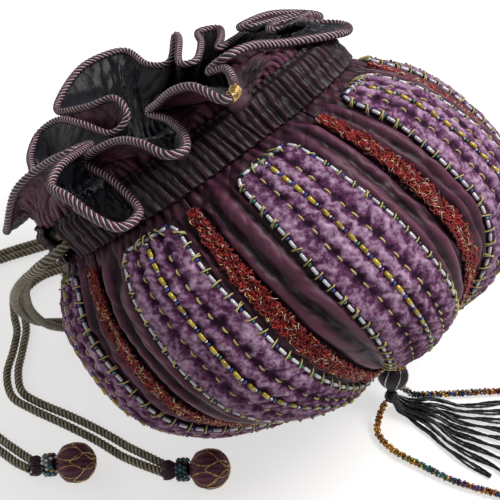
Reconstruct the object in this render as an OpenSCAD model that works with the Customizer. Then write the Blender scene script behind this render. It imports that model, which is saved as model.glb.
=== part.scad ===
// Drawstring dice bag, lying on its side on a table with its mouth raised.
// Millimetres, +Z up. The origin is on the table, under the middle of the bag and tassel.
// The bag's own axis runs from the base pole (lower right) to the mouth (upper left, -X).

/* [Bag] */
// Radius of the filled bag at its fullest, over the silk puffs
body_radius = 82; // [74:1:98]
// Length of the filled bag along its axis, from base to neck
body_length = 99; // [88:1:119]
// Radius of the gathered neck
neck_radius = 57; // [48:1:64]
// Angle of the mouth's axis above the table
tilt = 43; // [35:1:50]
// Depth by which the resting side is pressed flat
press = 4; // [2:0.5:8]
// Height of the silk puffs above the valleys between them
puff = 5; // [2:0.5:7]

/* [Cloth] */
// Thickness of the aubergine silk
silk_t = 1; // [0.6:0.1:1.6]
// Thickness of the quilted velvet strips
velvet_t = 1.5; // [1:0.1:2.5]
// Thickness of the boucle trims
trim_t = 2.2; // [1.5:0.1:3]
// Thickness of the satin lining
lining_t = 0.6; // [0.4:0.1:1]
// Width of a velvet strip at the fullest part
velvet_w = 28; // [20:1:34]
// Width of a boucle trim
trim_w = 9.5; // [6:0.5:12]
// Air between two layers of cloth
ease = 0.3; // [0.3:0.05:0.5]

/* [Cords] */
// Diameter of the drawstring cord
cord_d = 3.6; // [3:0.2:4]
// Diameter of the twisted cord along the frill's edge
rim_d = 3.4; // [2.6:0.2:3.6]
// Width of the casing that the drawstrings run in
casing_w = 13; // [11:0.5:16]
// Height of the frill, as a share of its usual height
frill_rise = 1; // [0.85:0.05:1.2]

/* [Ends] */
// Diameter of the two embroidered balls on the drawstrings
ball_d = 15.5; // [12:0.5:18]
// Diameter of the tassel's ball
tassel_ball_d = 12; // [9:0.5:13]
// Length of the longest tassel strand
tassel_len = 78; // [55:1:90]
// Diameter of a tassel strand
strand_d = 1.8; // [1.2:0.1:1.9]
// Diameter of a bead strand
bead_d = 3.2; // [2.4:0.2:3.6]

/* [Hidden] */
PANELS = 9;

// The gathers are hand-made, so strips and trims are not quite evenly spaced (degrees round the axis).
velvet_at = [-6, 37, 75, 116, 158, 199, 238, 278, 317];
trim_at = [12, 52, 97, 141, 180, 219, 258, 297, 335, 372];

// Cross-section: slightly wider than deep, and the neck leans towards the front as it rises.
oval = 1.06;
lean = 0.19;
girth_at = 0.45;          // share of the length at which the bag is fullest
shoulder = 2.2;           // roundness of the shoulder between girth and neck
pole_start = 0.045;       // share of the outline at which the gores meet the base cap
bag_at = [4.4, 1.7];          // plan position of the bag's girth centre

side = [0, -1, 0];
rise = [sin(tilt), 0, cos(tilt)];
mouth = [-cos(tilt), 0, sin(tilt)];
girth_w = girth_at * body_length;
cord_r = cord_d / 2;

// ---- outline of the filled bag ----
// t runs from 0 at the base pole to 1 at the neck; the result is [radius, place along the axis].
function outline(t) =
  t < 0.5
    ? [(body_radius - puff) * sin(180 * t), girth_w * (1 - cos(180 * t))]
    : let (x = 2 * t - 1)
      [neck_radius + (body_radius - puff - neck_radius) * (1 - pow(x, shoulder)),
       girth_w + x * (body_length - girth_w)];

function outline_normal(t) =
  let (a = outline(max(t - 0.01, 0)), b = outline(min(t + 0.01, 1)), d = b - a, n = [d[1], -d[0]])
  n / norm(n);

// Puffs swell between the trims and die out at the neck and the base.
function gore_of(angle) = [for (k = [0:PANELS - 1]) if (angle >= trim_at[k] && angle <= trim_at[k + 1]) k][0];
function puff_at(angle, t) =
  let (a = angle < trim_at[0] ? angle + 360 : angle, k = gore_of(a),
       x = 2 * (a - trim_at[k]) / (trim_at[k + 1] - trim_at[k]) - 1)
  puff * (1 - x * x) * min(1, 6 * (t - pole_start)) * min(1, 5 * (1 - t));

// A point beside the bag's axis, before the bag is set down.
function off_axis(angle, r, w) =
  let (v = w - girth_w)
  (r * cos(angle) * oval + lean * v) * side + (r * sin(angle) / oval) * rise + v * mouth;

function loose_point(angle, t, out) =
  let (o = outline(t), n = outline_normal(t), p = out + puff_at(angle, t))
  off_axis(angle, o[0] + p * n[0], o[1] + p * n[1]);

// Height of the girth centre: the lowest skin would reach below the table by the press depth.
lowest = min([for (a = [200:10:340]) for (t = [0.1:0.05:0.9]) loose_point(a, t, trim_t)[2]]);
centre = [bag_at[0], bag_at[1], -lowest - press];

// A cloth point, kept above the table by the layers outside it.
function cloth(angle, t, out, top, bulge = 1) =
  let (o = outline(t), n = outline_normal(t), p = out + bulge * puff_at(angle, t),
       q = centre + off_axis(angle, o[0] + p * n[0], o[1] + p * n[1]))
  [q[0], q[1], max(q[2], top - out)];

function neck_point(angle, r, past) = centre + off_axis(angle, r, body_length + past);

// ---- closed solids from grids of points ----
function flat(rows) = [for (r = rows) for (p = r) p];

function wall_faces(n, m, wrap) =
  let (c = wrap ? m : m - 1, k = n * m)
  concat(
    [for (i = [0:n - 2]) for (j = [0:c - 1]) let (j2 = (j + 1) % m)
      each [[i * m + j, (i + 1) * m + j, (i + 1) * m + j2], [i * m + j, (i + 1) * m + j2, i * m + j2]]],
    [for (i = [0:n - 2]) for (j = [0:c - 1]) let (j2 = (j + 1) % m)
      each [[k + i * m + j, k + (i + 1) * m + j2, k + (i + 1) * m + j],
            [k + i * m + j, k + i * m + j2, k + (i + 1) * m + j2]]],
    [for (j = [0:c - 1]) let (j2 = (j + 1) % m)
      each [[j, j2, k + j2], [j, k + j2, k + j]]],
    [for (j = [0:c - 1]) let (j2 = (j + 1) % m, e = (n - 1) * m)
      each [[e + j, k + e + j2, e + j2], [e + j, k + e + j, k + e + j2]]],
    wrap ? [] : [for (i = [0:n - 2]) let (a = i * m, b = (i + 1) * m)
      each [[a, k + b, b], [a, k + a, k + b]]],
    wrap ? [] : [for (i = [0:n - 2]) let (a = i * m + m - 1, b = (i + 1) * m + m - 1)
      each [[a, b, k + b], [a, k + b, k + a]]]
  );

module wall(outer, inner, wrap = false) {
  polyhedron(
    points = concat(flat(outer), flat(inner)),
    faces = wall_faces(len(outer), len(outer[0]), wrap)
  );
}

// ---- smooth curves and tubes ----
function unit(v) = v / norm(v);
function bend(a, b, c, d, t) =
  0.5 * (2 * b + (c - a) * t + (2 * a - 5 * b + 4 * c - d) * t * t + (3 * b - a - 3 * c + d) * t * t * t);
function curve(p, steps) =
  let (n = len(p))
  [for (i = [0:n - 2]) for (s = [0:steps - 1])
     bend(p[max(i - 1, 0)], p[i], p[i + 1], p[min(i + 2, n - 1)], s / steps),
   p[n - 1]];
function loop_curve(p, steps) =
  let (n = len(p))
  [for (i = [0:n - 1]) for (s = [0:steps - 1])
     bend(p[(i + n - 1) % n], p[i], p[(i + 1) % n], p[(i + 2) % n], s / steps)];

function carried(n, dir) = unit(n - (n * dir) * dir);
function rings(p, dirs, r, sides) =
  let (first = carried(abs(dirs[0][2]) < 0.9 ? [0, 0, 1] : [1, 0, 0], dirs[0]))
  [for (i = 0, n = first; i < len(p); n = i + 1 < len(p) ? carried(n, dirs[i + 1]) : n, i = i + 1)
    let (b = cross(dirs[i], n))
    [for (s = [0:sides - 1]) p[i] + r * (cos(360 * s / sides) * n + sin(360 * s / sides) * b)]];

function way(p, i, closed) =
  let (n = len(p))
  closed ? unit(p[(i + 1) % n] - p[(i + n - 1) % n]) : unit(p[min(i + 1, n - 1)] - p[max(i - 1, 0)]);

module tube(p, d, sides = 8, closed = false) {
  n = len(p);
  dirs = [for (i = [0:n - 1]) way(p, i, closed)];
  pts = flat(rings(p, dirs, d / 2, sides));
  spans = closed ? n : n - 1;
  // A closed tube joins its last ring to its first with the shift that fits best.
  shift = closed ? nearest(pts, (n - 1) * sides, sides) : 0;
  polyhedron(
    points = pts,
    faces = concat(
      [for (i = [0:spans - 1]) for (s = [0:sides - 1])
        let (a = i * sides + s, b = i * sides + (s + 1) % sides,
             e = i == n - 1 ? shift : 0, j = ((i + 1) % n) * sides,
             c = j + (s + e) % sides, d2 = j + (s + 1 + e) % sides)
        each [[a, c, d2], [a, d2, b]]],
      closed ? [] : [[for (s = [0:sides - 1]) s], [for (s = [sides - 1:-1:0]) (n - 1) * sides + s]]
    )
  );
}
function nearest(pts, from, sides) =
  let (d = [for (s = [0:sides - 1]) norm(pts[from] - pts[s])])
  [for (s = [0:sides - 1]) if (d[s] == min(d)) s][0];

// ---- the filled bag ----
row_count = 14;
gore_rows = [for (i = [0:row_count]) pole_start + (1 - pole_start) * i / row_count];
strip_rows = [for (i = [1:row_count - 1]) gore_rows[i]];      // velvets and trims stop one row short at both ends
gore_cols = 6;
ring_top = trim_t + 2 * ease;      // height of the silk above the table where it is pressed

module gore(k) {
  a0 = trim_at[k - 1] + 0.25;
  a1 = trim_at[k] - 0.25;
  cols = [for (j = [0:gore_cols]) a0 + (a1 - a0) * j / gore_cols];
  color([0.23, 0.11, 0.18])
    wall(
      [for (t = gore_rows) [for (a = cols) cloth(a, t, 0, ring_top)]],
      [for (t = gore_rows) [for (a = cols) cloth(a, t, -silk_t, ring_top)]]
    );
}

// Half width of a strip in degrees where the bag has this radius. It narrows from the girth to the neck.
top_share = 0.72;
function width_at(width, t) = t < 0.6 ? width : width * (1 - (1 - top_share) * (t - 0.6) / 0.33);
function half_angle(width, t, most) = min(most, width_at(width, t) / 2 / outline(t)[0] * 180 / PI);

module strip(centre_at, thick, cols, halves) {
  grid = [for (i = [0:len(strip_rows) - 1]) [for (j = [-cols / 2:cols / 2]) centre_at + 2 * j / cols * halves[i]]];
  function layer(out) =
    [for (i = [0:len(strip_rows) - 1]) [for (a = grid[i]) cloth(a, strip_rows[i], out, ease + thick)]];
  wall(layer(ease + thick), layer(ease));
}

trim_most = 5;       // half width of a trim near the base, in degrees
strip_gap = 0.8;     // degrees between a velvet and the trim beside it
function trim_half(t) = half_angle(trim_w, t, trim_most);
module velvet(k) {
  at = velvet_at[k - 1];
  before = k == 1 ? trim_at[PANELS - 1] - 360 : trim_at[k - 2];
  near_trim = min(at - before, trim_at[k - 1] - at);
  color([0.45, 0.28, 0.45])
    strip(at, velvet_t, 4, [for (t = strip_rows) half_angle(velvet_w, t, near_trim - trim_half(t) - strip_gap)]);
}

module trim(k) {
  color([0.62, 0.1, 0.1])
    strip(trim_at[k - 1], trim_t - ease, 2, [for (t = strip_rows) trim_half(t)]);
}

neck_edge = gore_rows[row_count - 1] - 0.005;      // the bag's lining stops below the casing's
lining_rows = [for (i = [0:12]) pole_start + (neck_edge - pole_start) * i / 12];
module bag_lining() {
  out = -silk_t - ease;
  cols = [0:10:350];
  color([0.07, 0.07, 0.09])
    wall(
      [for (t = lining_rows) [for (a = cols) cloth(a, t, out, ring_top, 0)]],
      [for (t = lining_rows) [for (a = cols) cloth(a, t, out - lining_t, ring_top, 0)]],
      wrap = true
    );
}

// ---- base: cap over the gathered pole, and the thread loop that the tassel hangs from ----
pole = centre + off_axis(0, 0, 0);
cap_r = outline(pole_start)[0] + 0.2;
cap_t = 1.5;
loop_r = 2.6;
loop_wire = 0.7;
loop_mid = pole - mouth * (ease + cap_t + ease + loop_r + loop_wire);
hang = loop_mid - mouth * loop_r;      // where the tassel's ring bears on the loop

module along_mouth(p) {
  translate(p) rotate([0, tilt - 90, 0]) children();
}

module base_cap() {
  color([0.25, 0.12, 0.2])
    along_mouth(pole - mouth * (ease + cap_t))
      rotate_extrude($fn = 48)
        polygon([[0, 0], [cap_r - 3, 0], [cap_r, cap_t - 0.4], [cap_r, cap_t], [0, cap_t]]);
}

module base_loop() {
  color([0.1, 0.08, 0.1])
    along_mouth(loop_mid) rotate([0, 90, 0])
      rotate_extrude($fn = 32) translate([loop_r, 0]) circle(r = loop_wire, $fn = 16);
}

// ---- casing round the neck ----
near_exit = 2;       // degrees: the first drawstring leaves on the near side
far_exit = 186;      // the second leaves on the far side
exit_gap = 6;        // half opening of an exit, in degrees
skirt_t = 0.8;       // thickness of the casing cloth
run_r = cord_r + ease;
casing_back = 0.97;  // where the casing overlaps the gores
lining_back = [gore_rows[row_count - 1], 1];      // rows of the gores that the casing's lining follows

// Rows of the casing's cloth, out to in along the neck: layer 1 lies outside the drawstrings, -1 inside them.
function band(a, layer, t = 0) =
  let (out = layer > 0 ? ease + t : -silk_t - 2 * ease - t, r = neck_radius + layer * (run_r + t))
  concat(
    layer > 0 ? [cloth(a, casing_back, out, ring_top)] : [for (b = lining_back) cloth(a, b, out, ring_top, 0)],
    [neck_point(a, r, 1.5), neck_point(a, r, casing_w - 2.5)],
    [neck_point(a, neck_radius + layer * (0.6 + t), casing_w - ease)]
  );
function columns(g) = [for (i = [0:len(g[0]) - 1]) [for (c = g) c[i]]];

module casing_half(a0, a1) {
  steps = 24;
  as = [for (j = [0:steps]) a0 + (a1 - a0) * j / steps];
  color([0.2, 0.1, 0.16])
    wall(columns([for (a = as) band(a, 1, skirt_t)]), columns([for (a = as) band(a, 1)]));
}
module casing_upper() {
  casing_half(near_exit + exit_gap, far_exit - exit_gap);
}
module casing_lower() {
  casing_half(far_exit + exit_gap, near_exit + 360 - exit_gap);
}
module casing_lining() {
  as = [0:10:350];
  color([0.07, 0.07, 0.09])
    wall(columns([for (a = as) band(a, -1)]), columns([for (a = as) band(a, -1, lining_t)]), wrap = true);
}

// ---- drawstrings inside the casing ----
module in_casing(past, exit_angle) {
  as = [for (i = [0:47]) exit_angle + exit_gap / 2 + (360 - exit_gap) * i / 47];
  color([0.32, 0.29, 0.22])
    tube([for (a = as) neck_point(a, neck_radius, past)], cord_d);
}
cord_seat_a = 1.5 + cord_r;
cord_seat_b = cord_seat_a + cord_d + ease;
module drawstring_a() {
  in_casing(cord_seat_a, near_exit);
}
module drawstring_b() {
  in_casing(cord_seat_b, far_exit);
}

// ---- frill ----
// Outline of the frill's edge, one row per turn of the cloth:
// [towards the top of the lying bag, towards its near side, along the mouth's axis past the neck]
facing = 63;
frill_edge = [
  [10, 68, 19], [25, 55, 28], [35, 42, 30], [45, 31, 29], [36, 25, 27],
  [60, 34, 28], [72, 40, 25], [82, 38, 20], [89, 36, 11], [90, 33, 5], [85, 28, 4], [76, 26, 6],
  [60, 27, 15], [46, 30, 23], [50, 26, 25], [62, 17, 24], [74, 12, 20], [83, 9, 14], [82, 4, 12],
  [72, 1, 15], [58, 1, 20], [45, 4, 25], [52, 0, 26], [64, -6, 27], [74, -11, 25], [82, -14, 18],
  [80, -18, 17], [68, -21, 19], [56, -23, 23], [46, -19, 25], [52, -26, 26], [46, -35, 24],
  [36, -45, 18], [24, -61, 10], [9, -68, 8], [-3, -68, 11], [-11, -60, 17], [-14, -51, 21],
  [-22, -52, 23], [-31, -63, 19], [-39, -67, 19], [-37, -57, 23], [-31, -47, 27], [-38, -45, 29],
  [-47, -58, 26], [-55, -71, 17], [-63, -74, 13], [-66, -64, 19], [-57, -50, 25], [-43, -40, 26],
  [-37, -33, 27], [-48, -38, 30], [-60, -40, 33], [-60, -33, 36], [-48, -30, 32],
  [-35, -23, 28], [-38, -18, 31], [-56, -25, 38], [-63, -25, 40], [-56, -16, 33], [-62, -9, 37],
  [-75, -7, 46], [-75, 1, 50], [-71, 12, 51], [-64, 24, 47], [-54, 30, 42], [-38, 20, 37],
  [-30, 10, 34], [-23, 11, 26], [-24, 20, 24], [-34, 26, 33], [-48, 32, 39], [-56, 42, 39],
  [-46, 50, 34], [-32, 53, 28], [-22, 60, 22], [-6, 70, 18]
];
frill_start = -20;      // neck angle under the first row
frill_fine = 2;         // points per row
frill_full = neck_radius / 57;
mouth_mid = centre + off_axis(0, 0, body_length);

function edge_point(e) =
  mouth_mid + frill_full * e[0] * off_dir(facing) + frill_full * e[1] * off_dir(facing - 90)
  + frill_rise * e[2] * (mouth + lean * side);
function off_dir(a) = cos(a) * side + sin(a) * rise;
edge_line = loop_curve([for (e = frill_edge) edge_point(e)], frill_fine);
edge_n = len(edge_line);

// Length of the edge up to each point, so that the gathers take up equal cloth.
function run_of(p) = [for (i = 0, s = 0; i < len(p); s = s + norm(p[(i + 1) % len(p)] - p[i]), i = i + 1) s];
edge_run = run_of(edge_line);
edge_total = edge_run[edge_n - 1] + norm(edge_line[0] - edge_line[edge_n - 1]);

frill_rows = 4;
rise_first = 9;         // how far the cloth runs along the mouth's axis before it turns out
edge_room = rim_d / 2 + 2 * ease;
function away(v, w) = v - (v * w) * w;
// Each column of cloth leaves the casing along the mouth's axis and meets the edge cord squarely.
function frill_column(j) =
  let (a = frill_start + 360 * edge_run[j] / edge_total,
       foot = neck_point(a, neck_radius, casing_w + ease), first = foot + rise_first * mouth,
       tip = edge_line[j], w = way(edge_line, j, true), reach = norm(tip - first),
       last = tip - 0.4 * reach * unit(away(unit(tip - first), w) + 0.6 * away(mouth, w)))
  [foot, first, last, tip];
function frill_point(c, v) =
  let (u = 1 - v)
  u * u * u * c[0] + 3 * u * u * v * c[1] + 3 * u * v * v * c[2] + v * v * v * c[3];
frill_columns = [for (j = [0:edge_n - 1]) frill_column(j)];
function last_v(c) = 1 - edge_room / (3 * norm(c[3] - c[2]));
frill_grid = [for (i = [0:frill_rows]) [for (c = frill_columns) frill_point(c, last_v(c) * i / frill_rows)]];
frill_normals = [for (i = [0:frill_rows]) [for (j = [0:edge_n - 1])
  let (across = frill_grid[i][(j + 1) % edge_n] - frill_grid[i][(j + edge_n - 1) % edge_n],
       up = frill_grid[min(i + 1, frill_rows)][j] - frill_grid[max(i - 1, 0)][j])
  unit(cross(across, up))]];
function frill_layer(out) =
  [for (i = [0:frill_rows]) [for (j = [0:edge_n - 1]) frill_grid[i][j] + out * frill_normals[i][j]]];

module frill() {
  color([0.25, 0.12, 0.2])
    wall(frill_layer(ease / 2 + 0.7), frill_layer(ease / 2), wrap = true);
}
module frill_lining() {
  color([0.08, 0.08, 0.1])
    wall(frill_layer(-ease / 2), frill_layer(-ease / 2 - lining_t), wrap = true);
}
module rim_cord() {
  color([0.6, 0.42, 0.46])
    tube(edge_line, rim_d, sides = 6, closed = true);
}

// ---- drawstring tails: each is one cord doubled, from its exit to its ball ----
// Round numbers chosen by hand. The outer cord of each pair lies beside the inner one.
lie = cord_r + 0.1;        // height of a cord's middle where it lies on the table
tail_a_in = [
  [-39.5, -73, 101.5], [-42, -78.5, 98], [-47, -81.5, 91], [-53, -82.5, 80], [-61, -80, 64], [-70, -75, 42],
  [-76, -67, 20], [-78, -58, 6], [-72, -49, 0], [-63, -40, 0], [-60, -28, 0], [-66, -18, 0], [-80, -16, 0],
  [-96, -22, 0], [-108, -32, 0], [-114, -45, 0], [-112, -58, 0], [-103, -66, 0], [-95, -71, 0], [-88, -79, 0],
  [-81, -88, 0], [-71, -93.5, 0], [-60.4, -92.1, 0]
];
tail_a_out = [
  [-36, -72.5, 106], [-38.5, -81, 101.5], [-45.5, -85.5, 92.5], [-53.5, -86.5, 80], [-62.5, -84, 64],
  [-72.5, -78, 42], [-79.5, -68.5, 20], [-82, -57, 6], [-75, -46.5, 0], [-66.5, -38, 0], [-64, -28.5, 0],
  [-68, -21.5, 0], [-79.5, -20, 0], [-94, -25.5, 0], [-105, -34.5, 0], [-110, -45.5, 0], [-108.5, -56, 0],
  [-100.5, -62.5, 0], [-92.5, -68, 0], [-85, -76.5, 0], [-78.5, -84, 0], [-70, -89.2, 0], [-60.4, -88.1, 0]
];
tail_b_in = [
  [-47, 52.8, 99], [-50, 58, 94.5], [-56, 66, 81], [-63.5, 71.5, 58], [-72, 72, 34], [-80, 67, 12],
  [-87, 54, 0], [-96, 32, 0], [-104, 8, 0], [-112, -12, 0], [-121, -30, 0], [-130, -48, 0],
  [-137, -66, 0], [-136, -84, 0], [-126, -98, 0], [-110, -107, 0], [-90, -111, 0], [-70, -110, 0]
];
tail_b_out = [
  [-43, 52.8, 103.5], [-46, 60, 98], [-53, 69, 81], [-62, 75.5, 58], [-73, 76, 34], [-83, 69.5, 12],
  [-90.5, 55.5, 0], [-100, 33.5, 0], [-108, 9.5, 0], [-115.5, -10.5, 0], [-124.5, -28, 0], [-133.5, -46.5, 0],
  [-141, -65.5, 0], [-140, -85.5, 0], [-128.5, -101, 0], [-111.5, -111, 0], [-90.5, -115, 0], [-70, -114, 0]
];
// The last stretch of each cord moves with its ball, and ends inside the tuft.
end_a_in = [[-59.6, -91.9, 0], [-45, -88, 0], [-30, -84.5, 0], [-14, -82, 2.6], [3.5, -77.5, 5.2]];
end_a_out = [[-59.6, -87.9, 0], [-45, -83.5, 0], [-30, -80, 0], [-15, -77.5, 2.6], [1, -74.5, 5.2]];
end_b_in = [[-69.7, -110, 0], [-62, -109.5, 0], [-54, -109, 2.2], [-46, -108.5, 3.6], [-38.5, -107.8, 5.2]];
end_b_out = [[-69.7, -114, 0], [-62, -113.6, 0], [-54, -113, 2.2], [-45, -112.5, 3.6], [-36, -110.6, 5.2]];

module run_cord(p) {
  color([0.36, 0.33, 0.26])
    tube([for (q = curve(p, 2)) [q[0], q[1], max(q[2], lie)]], cord_d);
}
module tail_a_inner() {
  run_cord(tail_a_in);
}
module tail_a_outer() {
  run_cord(tail_a_out);
}
module tail_b_inner() {
  run_cord(tail_b_in);
}
module tail_b_outer() {
  run_cord(tail_b_out);
}
module end_a_inner() {
  run_cord(end_a_in);
}
module end_a_outer() {
  run_cord(end_a_out);
}
module end_b_inner() {
  run_cord(end_b_in);
}
module end_b_outer() {
  run_cord(end_b_out);
}

// ---- ball, bead collar and frayed tuft on the end of each tail ----
tuft_len = 5;
tuft_r = 4.6;
collar_rows = 3;
collar_len = 4.8;
collar_r = 4.6;
end_lift = 9.2;      // degrees by which the ball's axis rises from the cord, so that the ball rests on the table
start_a = [0.9, -77, 5];
turn_a = 38.5;
start_b = [-38.5, -110.2, 5];
turn_b = 42.3;
function aim(turn) = [cos(turn), sin(turn), 0];

// Pieces are drawn along +Z, then laid along the cord's last direction.
module ball_end(from, turn) {
  translate(from) rotate([0, 0, turn]) rotate([0, -end_lift, 0]) rotate([0, 90, 0]) children();
}
module tuft_shape() {
  color([0.22, 0.12, 0.17])
    rotate_extrude($fn = 36)
      polygon([[0, 0], [tuft_r - 0.8, 0], [tuft_r, tuft_len * 0.45], [tuft_r - 0.8, tuft_len], [0, tuft_len]]);
}
module collar_shape() {
  row = collar_len / collar_rows;
  color([0.1, 0.25, 0.28])
    translate([0, 0, tuft_len + ease])
      rotate_extrude($fn = 48)
        union() {
          square([collar_r - 0.5, collar_len]);
          for (i = [0:collar_rows - 1])
            translate([collar_r - row / 2, (i + 0.5) * row]) circle(r = row / 2, $fn = 20);
        }
}
module ball_shape() {
  color([0.35, 0.17, 0.27])
    translate([0, 0, tuft_len + collar_len + 2 * ease + ball_d / 2]) sphere(d = ball_d, $fn = 56);
}
module tuft_a() {
  ball_end(start_a, turn_a) tuft_shape();
}
module tuft_b() {
  ball_end(start_b, turn_b) tuft_shape();
}
module bead_collar_a() {
  ball_end(start_a, turn_a) collar_shape();
}
module bead_collar_b() {
  ball_end(start_b, turn_b) collar_shape();
}
module ball_a() {
  ball_end(start_a, turn_a) ball_shape();
}
module ball_b() {
  ball_end(start_b, turn_b) ball_shape();
}

// ---- tassel ----
ring_r = 3.6;
ring_wire = 1.2;
ring_mid = hang - [0, 0, ring_r - ring_wire - loop_wire - ease];
tassel_mid = [ring_mid[0], ring_mid[1] - 0.6, ring_mid[2] - ring_r - ring_wire - ease - tassel_ball_d / 2];
knot_r = 2.8;
knot_dir = unit([2.8, -3.8, -7.6]);
knot_mid = tassel_mid + knot_dir * (tassel_ball_d / 2 + knot_r + ease);

module tassel_ring() {
  color([0.75, 0.6, 0.25])
    translate(ring_mid) rotate([90, 0, 0])
      rotate_extrude($fn = 48) translate([ring_r, 0]) circle(r = ring_wire, $fn = 24);
}
module tassel_ball() {
  color([0.12, 0.1, 0.13]) translate(tassel_mid) sphere(d = tassel_ball_d, $fn = 64);
}
module tassel_knot() {
  color([0.03, 0.03, 0.04]) translate(knot_mid) sphere(r = knot_r, $fn = 48);
}

// Nine strands leave the knot in three layers, and fan out as they come down to the table.
fan_mid = 21;
fan_step = 5.4;
strand_rest = strand_d / 2 + 0.1;
layer_up = strand_d + 0.15;
knot_low = 4.37;      // how far below the knot's middle the middle layer leaves it
strand_share = [0.62, 0.95, 0.7, 1, 0.9, 0.66, 0.97, 0.82, 0.93];
function on_fan(a, r, s, z) =
  [knot_mid[0], knot_mid[1], strand_rest + z] + r * aim(a) + s * aim(a + 90);
function waver(r) = 0.9 * sin(9 * r);
function strand_path(k) =
  let (layer = k % 3, column = floor(k / 3) - 1, a = fan_mid + fan_step * (k - 4),
       n = tassel_len * strand_share[k], s0 = column * (strand_d + 0.3),
       z = layer * layer_up, drop = max(0, knot_mid[2] - knot_low - strand_rest - layer_up))
  concat(
    [on_fan(fan_mid, knot_r, s0, z + drop), on_fan(fan_mid, 7, s0 * 1.1, z + 0.75 * drop),
     on_fan(a, 16, 0, z + 0.25 * drop), on_fan(a, 21, 0, z * 0.5)],
    [for (r = [28:10:n - 5]) on_fan(a, r, waver(r), 0)],
    [on_fan(a, n, waver(n), 0)]
  );
module tassel_skirt() {
  color([0.03, 0.03, 0.04])
    for (k = [0:8]) tube(strand_path(k), strand_d, sides = 6);
}

bead_rest = bead_d / 2 + 0.1;
bead_side = knot_r + bead_d / 2 + ease;
bead_line_1 = [
  knot_mid + [0.5, -bead_side, 1.5], [47, -3.6, 4], [50, -8, bead_rest], [55, -9.8, bead_rest],
  [62, -10, bead_rest], [73, -8, bead_rest], [86, -5, bead_rest], [98, 0, bead_rest], [108, 5, bead_rest]
];
bead_line_2 = [
  knot_mid + [-0.5, bead_side, 1.5], [46, 13.6, 4], [50, 15.5, bead_rest], [57, 22, bead_rest],
  [66, 31, bead_rest], [74, 39, bead_rest], [83, 47, bead_rest], [91, 55, bead_rest]
];
module laid_beads(p) {
  tube([for (q = curve(p, 2)) [q[0], q[1], max(q[2], bead_rest)]], bead_d);
}
module bead_strand_1() {
  color([0.7, 0.58, 0.28]) laid_beads(bead_line_1);
}
module bead_strand_2() {
  color([0.5, 0.5, 0.35]) laid_beads(bead_line_2);
}

for (k = [1:PANELS]) {
  gore(k);
  velvet(k);
  trim(k);
}
bag_lining();
base_cap();
base_loop();
casing_upper();
casing_lower();
casing_lining();
frill();
frill_lining();
rim_cord();
drawstring_a();
drawstring_b();
tail_a_inner();
tail_a_outer();
tail_b_inner();
tail_b_outer();
end_a_inner();
end_a_outer();
end_b_inner();
end_b_outer();
tuft_a();
tuft_b();
bead_collar_a();
bead_collar_b();
ball_a();
ball_b();
tassel_ring();
tassel_ball();
tassel_knot();
tassel_skirt();
bead_strand_1();
bead_strand_2();
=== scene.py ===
import math
import bpy
import numpy as np
from mathutils import Matrix, Vector


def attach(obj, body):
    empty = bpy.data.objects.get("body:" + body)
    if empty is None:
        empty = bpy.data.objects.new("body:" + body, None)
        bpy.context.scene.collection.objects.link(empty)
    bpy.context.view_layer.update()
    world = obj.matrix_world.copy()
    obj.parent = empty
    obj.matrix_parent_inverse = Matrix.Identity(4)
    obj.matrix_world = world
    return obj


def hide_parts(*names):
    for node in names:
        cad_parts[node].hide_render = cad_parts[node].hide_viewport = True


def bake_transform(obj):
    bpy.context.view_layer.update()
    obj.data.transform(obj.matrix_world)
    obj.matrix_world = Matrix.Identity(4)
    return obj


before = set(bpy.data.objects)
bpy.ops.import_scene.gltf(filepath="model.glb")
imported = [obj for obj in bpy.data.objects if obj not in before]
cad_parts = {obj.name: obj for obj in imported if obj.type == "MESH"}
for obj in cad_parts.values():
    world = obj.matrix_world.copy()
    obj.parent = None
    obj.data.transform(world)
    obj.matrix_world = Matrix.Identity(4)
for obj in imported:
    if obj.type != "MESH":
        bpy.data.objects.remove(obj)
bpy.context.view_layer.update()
print("frame loaded:", len(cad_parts), "nodes")

# The bag's own sizes in millimetres, the same as in its CAD source. Shapes are worked out in
# millimetres, and makeObject turns them to metres.
bag = {
    "bodyRadius": 82.0, "bodyLength": 99.0, "neckRadius": 57.0,
    "tilt": 43.0,  # degrees that the mouth's axis stands above the table
    "puff": 5.0,  # how far the silk stands out halfway between two trims
    "oval": 1.06, "lean": 0.19,  # wider than it is tall, and leaning to one side
    "girth": 44.55, "shoulder": 2.2,  # where it is fullest, and how squarely it turns in to the neck
    "poleStart": 0.045, "ringTop": 2.8,  # where the gores start at the base, and the pressed side's inner face
    "ease": 0.3, "pressed": 0.12,  # air between two cloths, and between the lowest cloth and the table
    "centre": (4.4, 1.7, 63.3868),
    "velvetAt": (-6, 37, 75, 116, 158, 199, 238, 278, 317),  # degrees round the axis
    "trimAt": (12, 52, 97, 141, 180, 219, 258, 297, 335, 372),
    "velvetWidth": 28.0, "trimWidth": 9.5,
}
tilt = math.radians(bag["tilt"])
side = np.array([0.0, -1.0, 0.0])
rise = np.array([math.sin(tilt), 0.0, math.cos(tilt)])
mouth = np.array([-math.cos(tilt), 0.0, math.sin(tilt)])
centre = np.array(bag["centre"])
trimAt = np.array(bag["trimAt"], float)


# Small tools for shapes
def unit(v):
    v = np.asarray(v, float)
    return v / np.maximum(np.linalg.norm(v, axis=-1, keepdims=True), 1e-12)


def smooth(low, high, x):
    t = np.clip((np.asarray(x, float) - low) / (high - low), 0, 1)
    return t * t * (3 - 2 * t)


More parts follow.
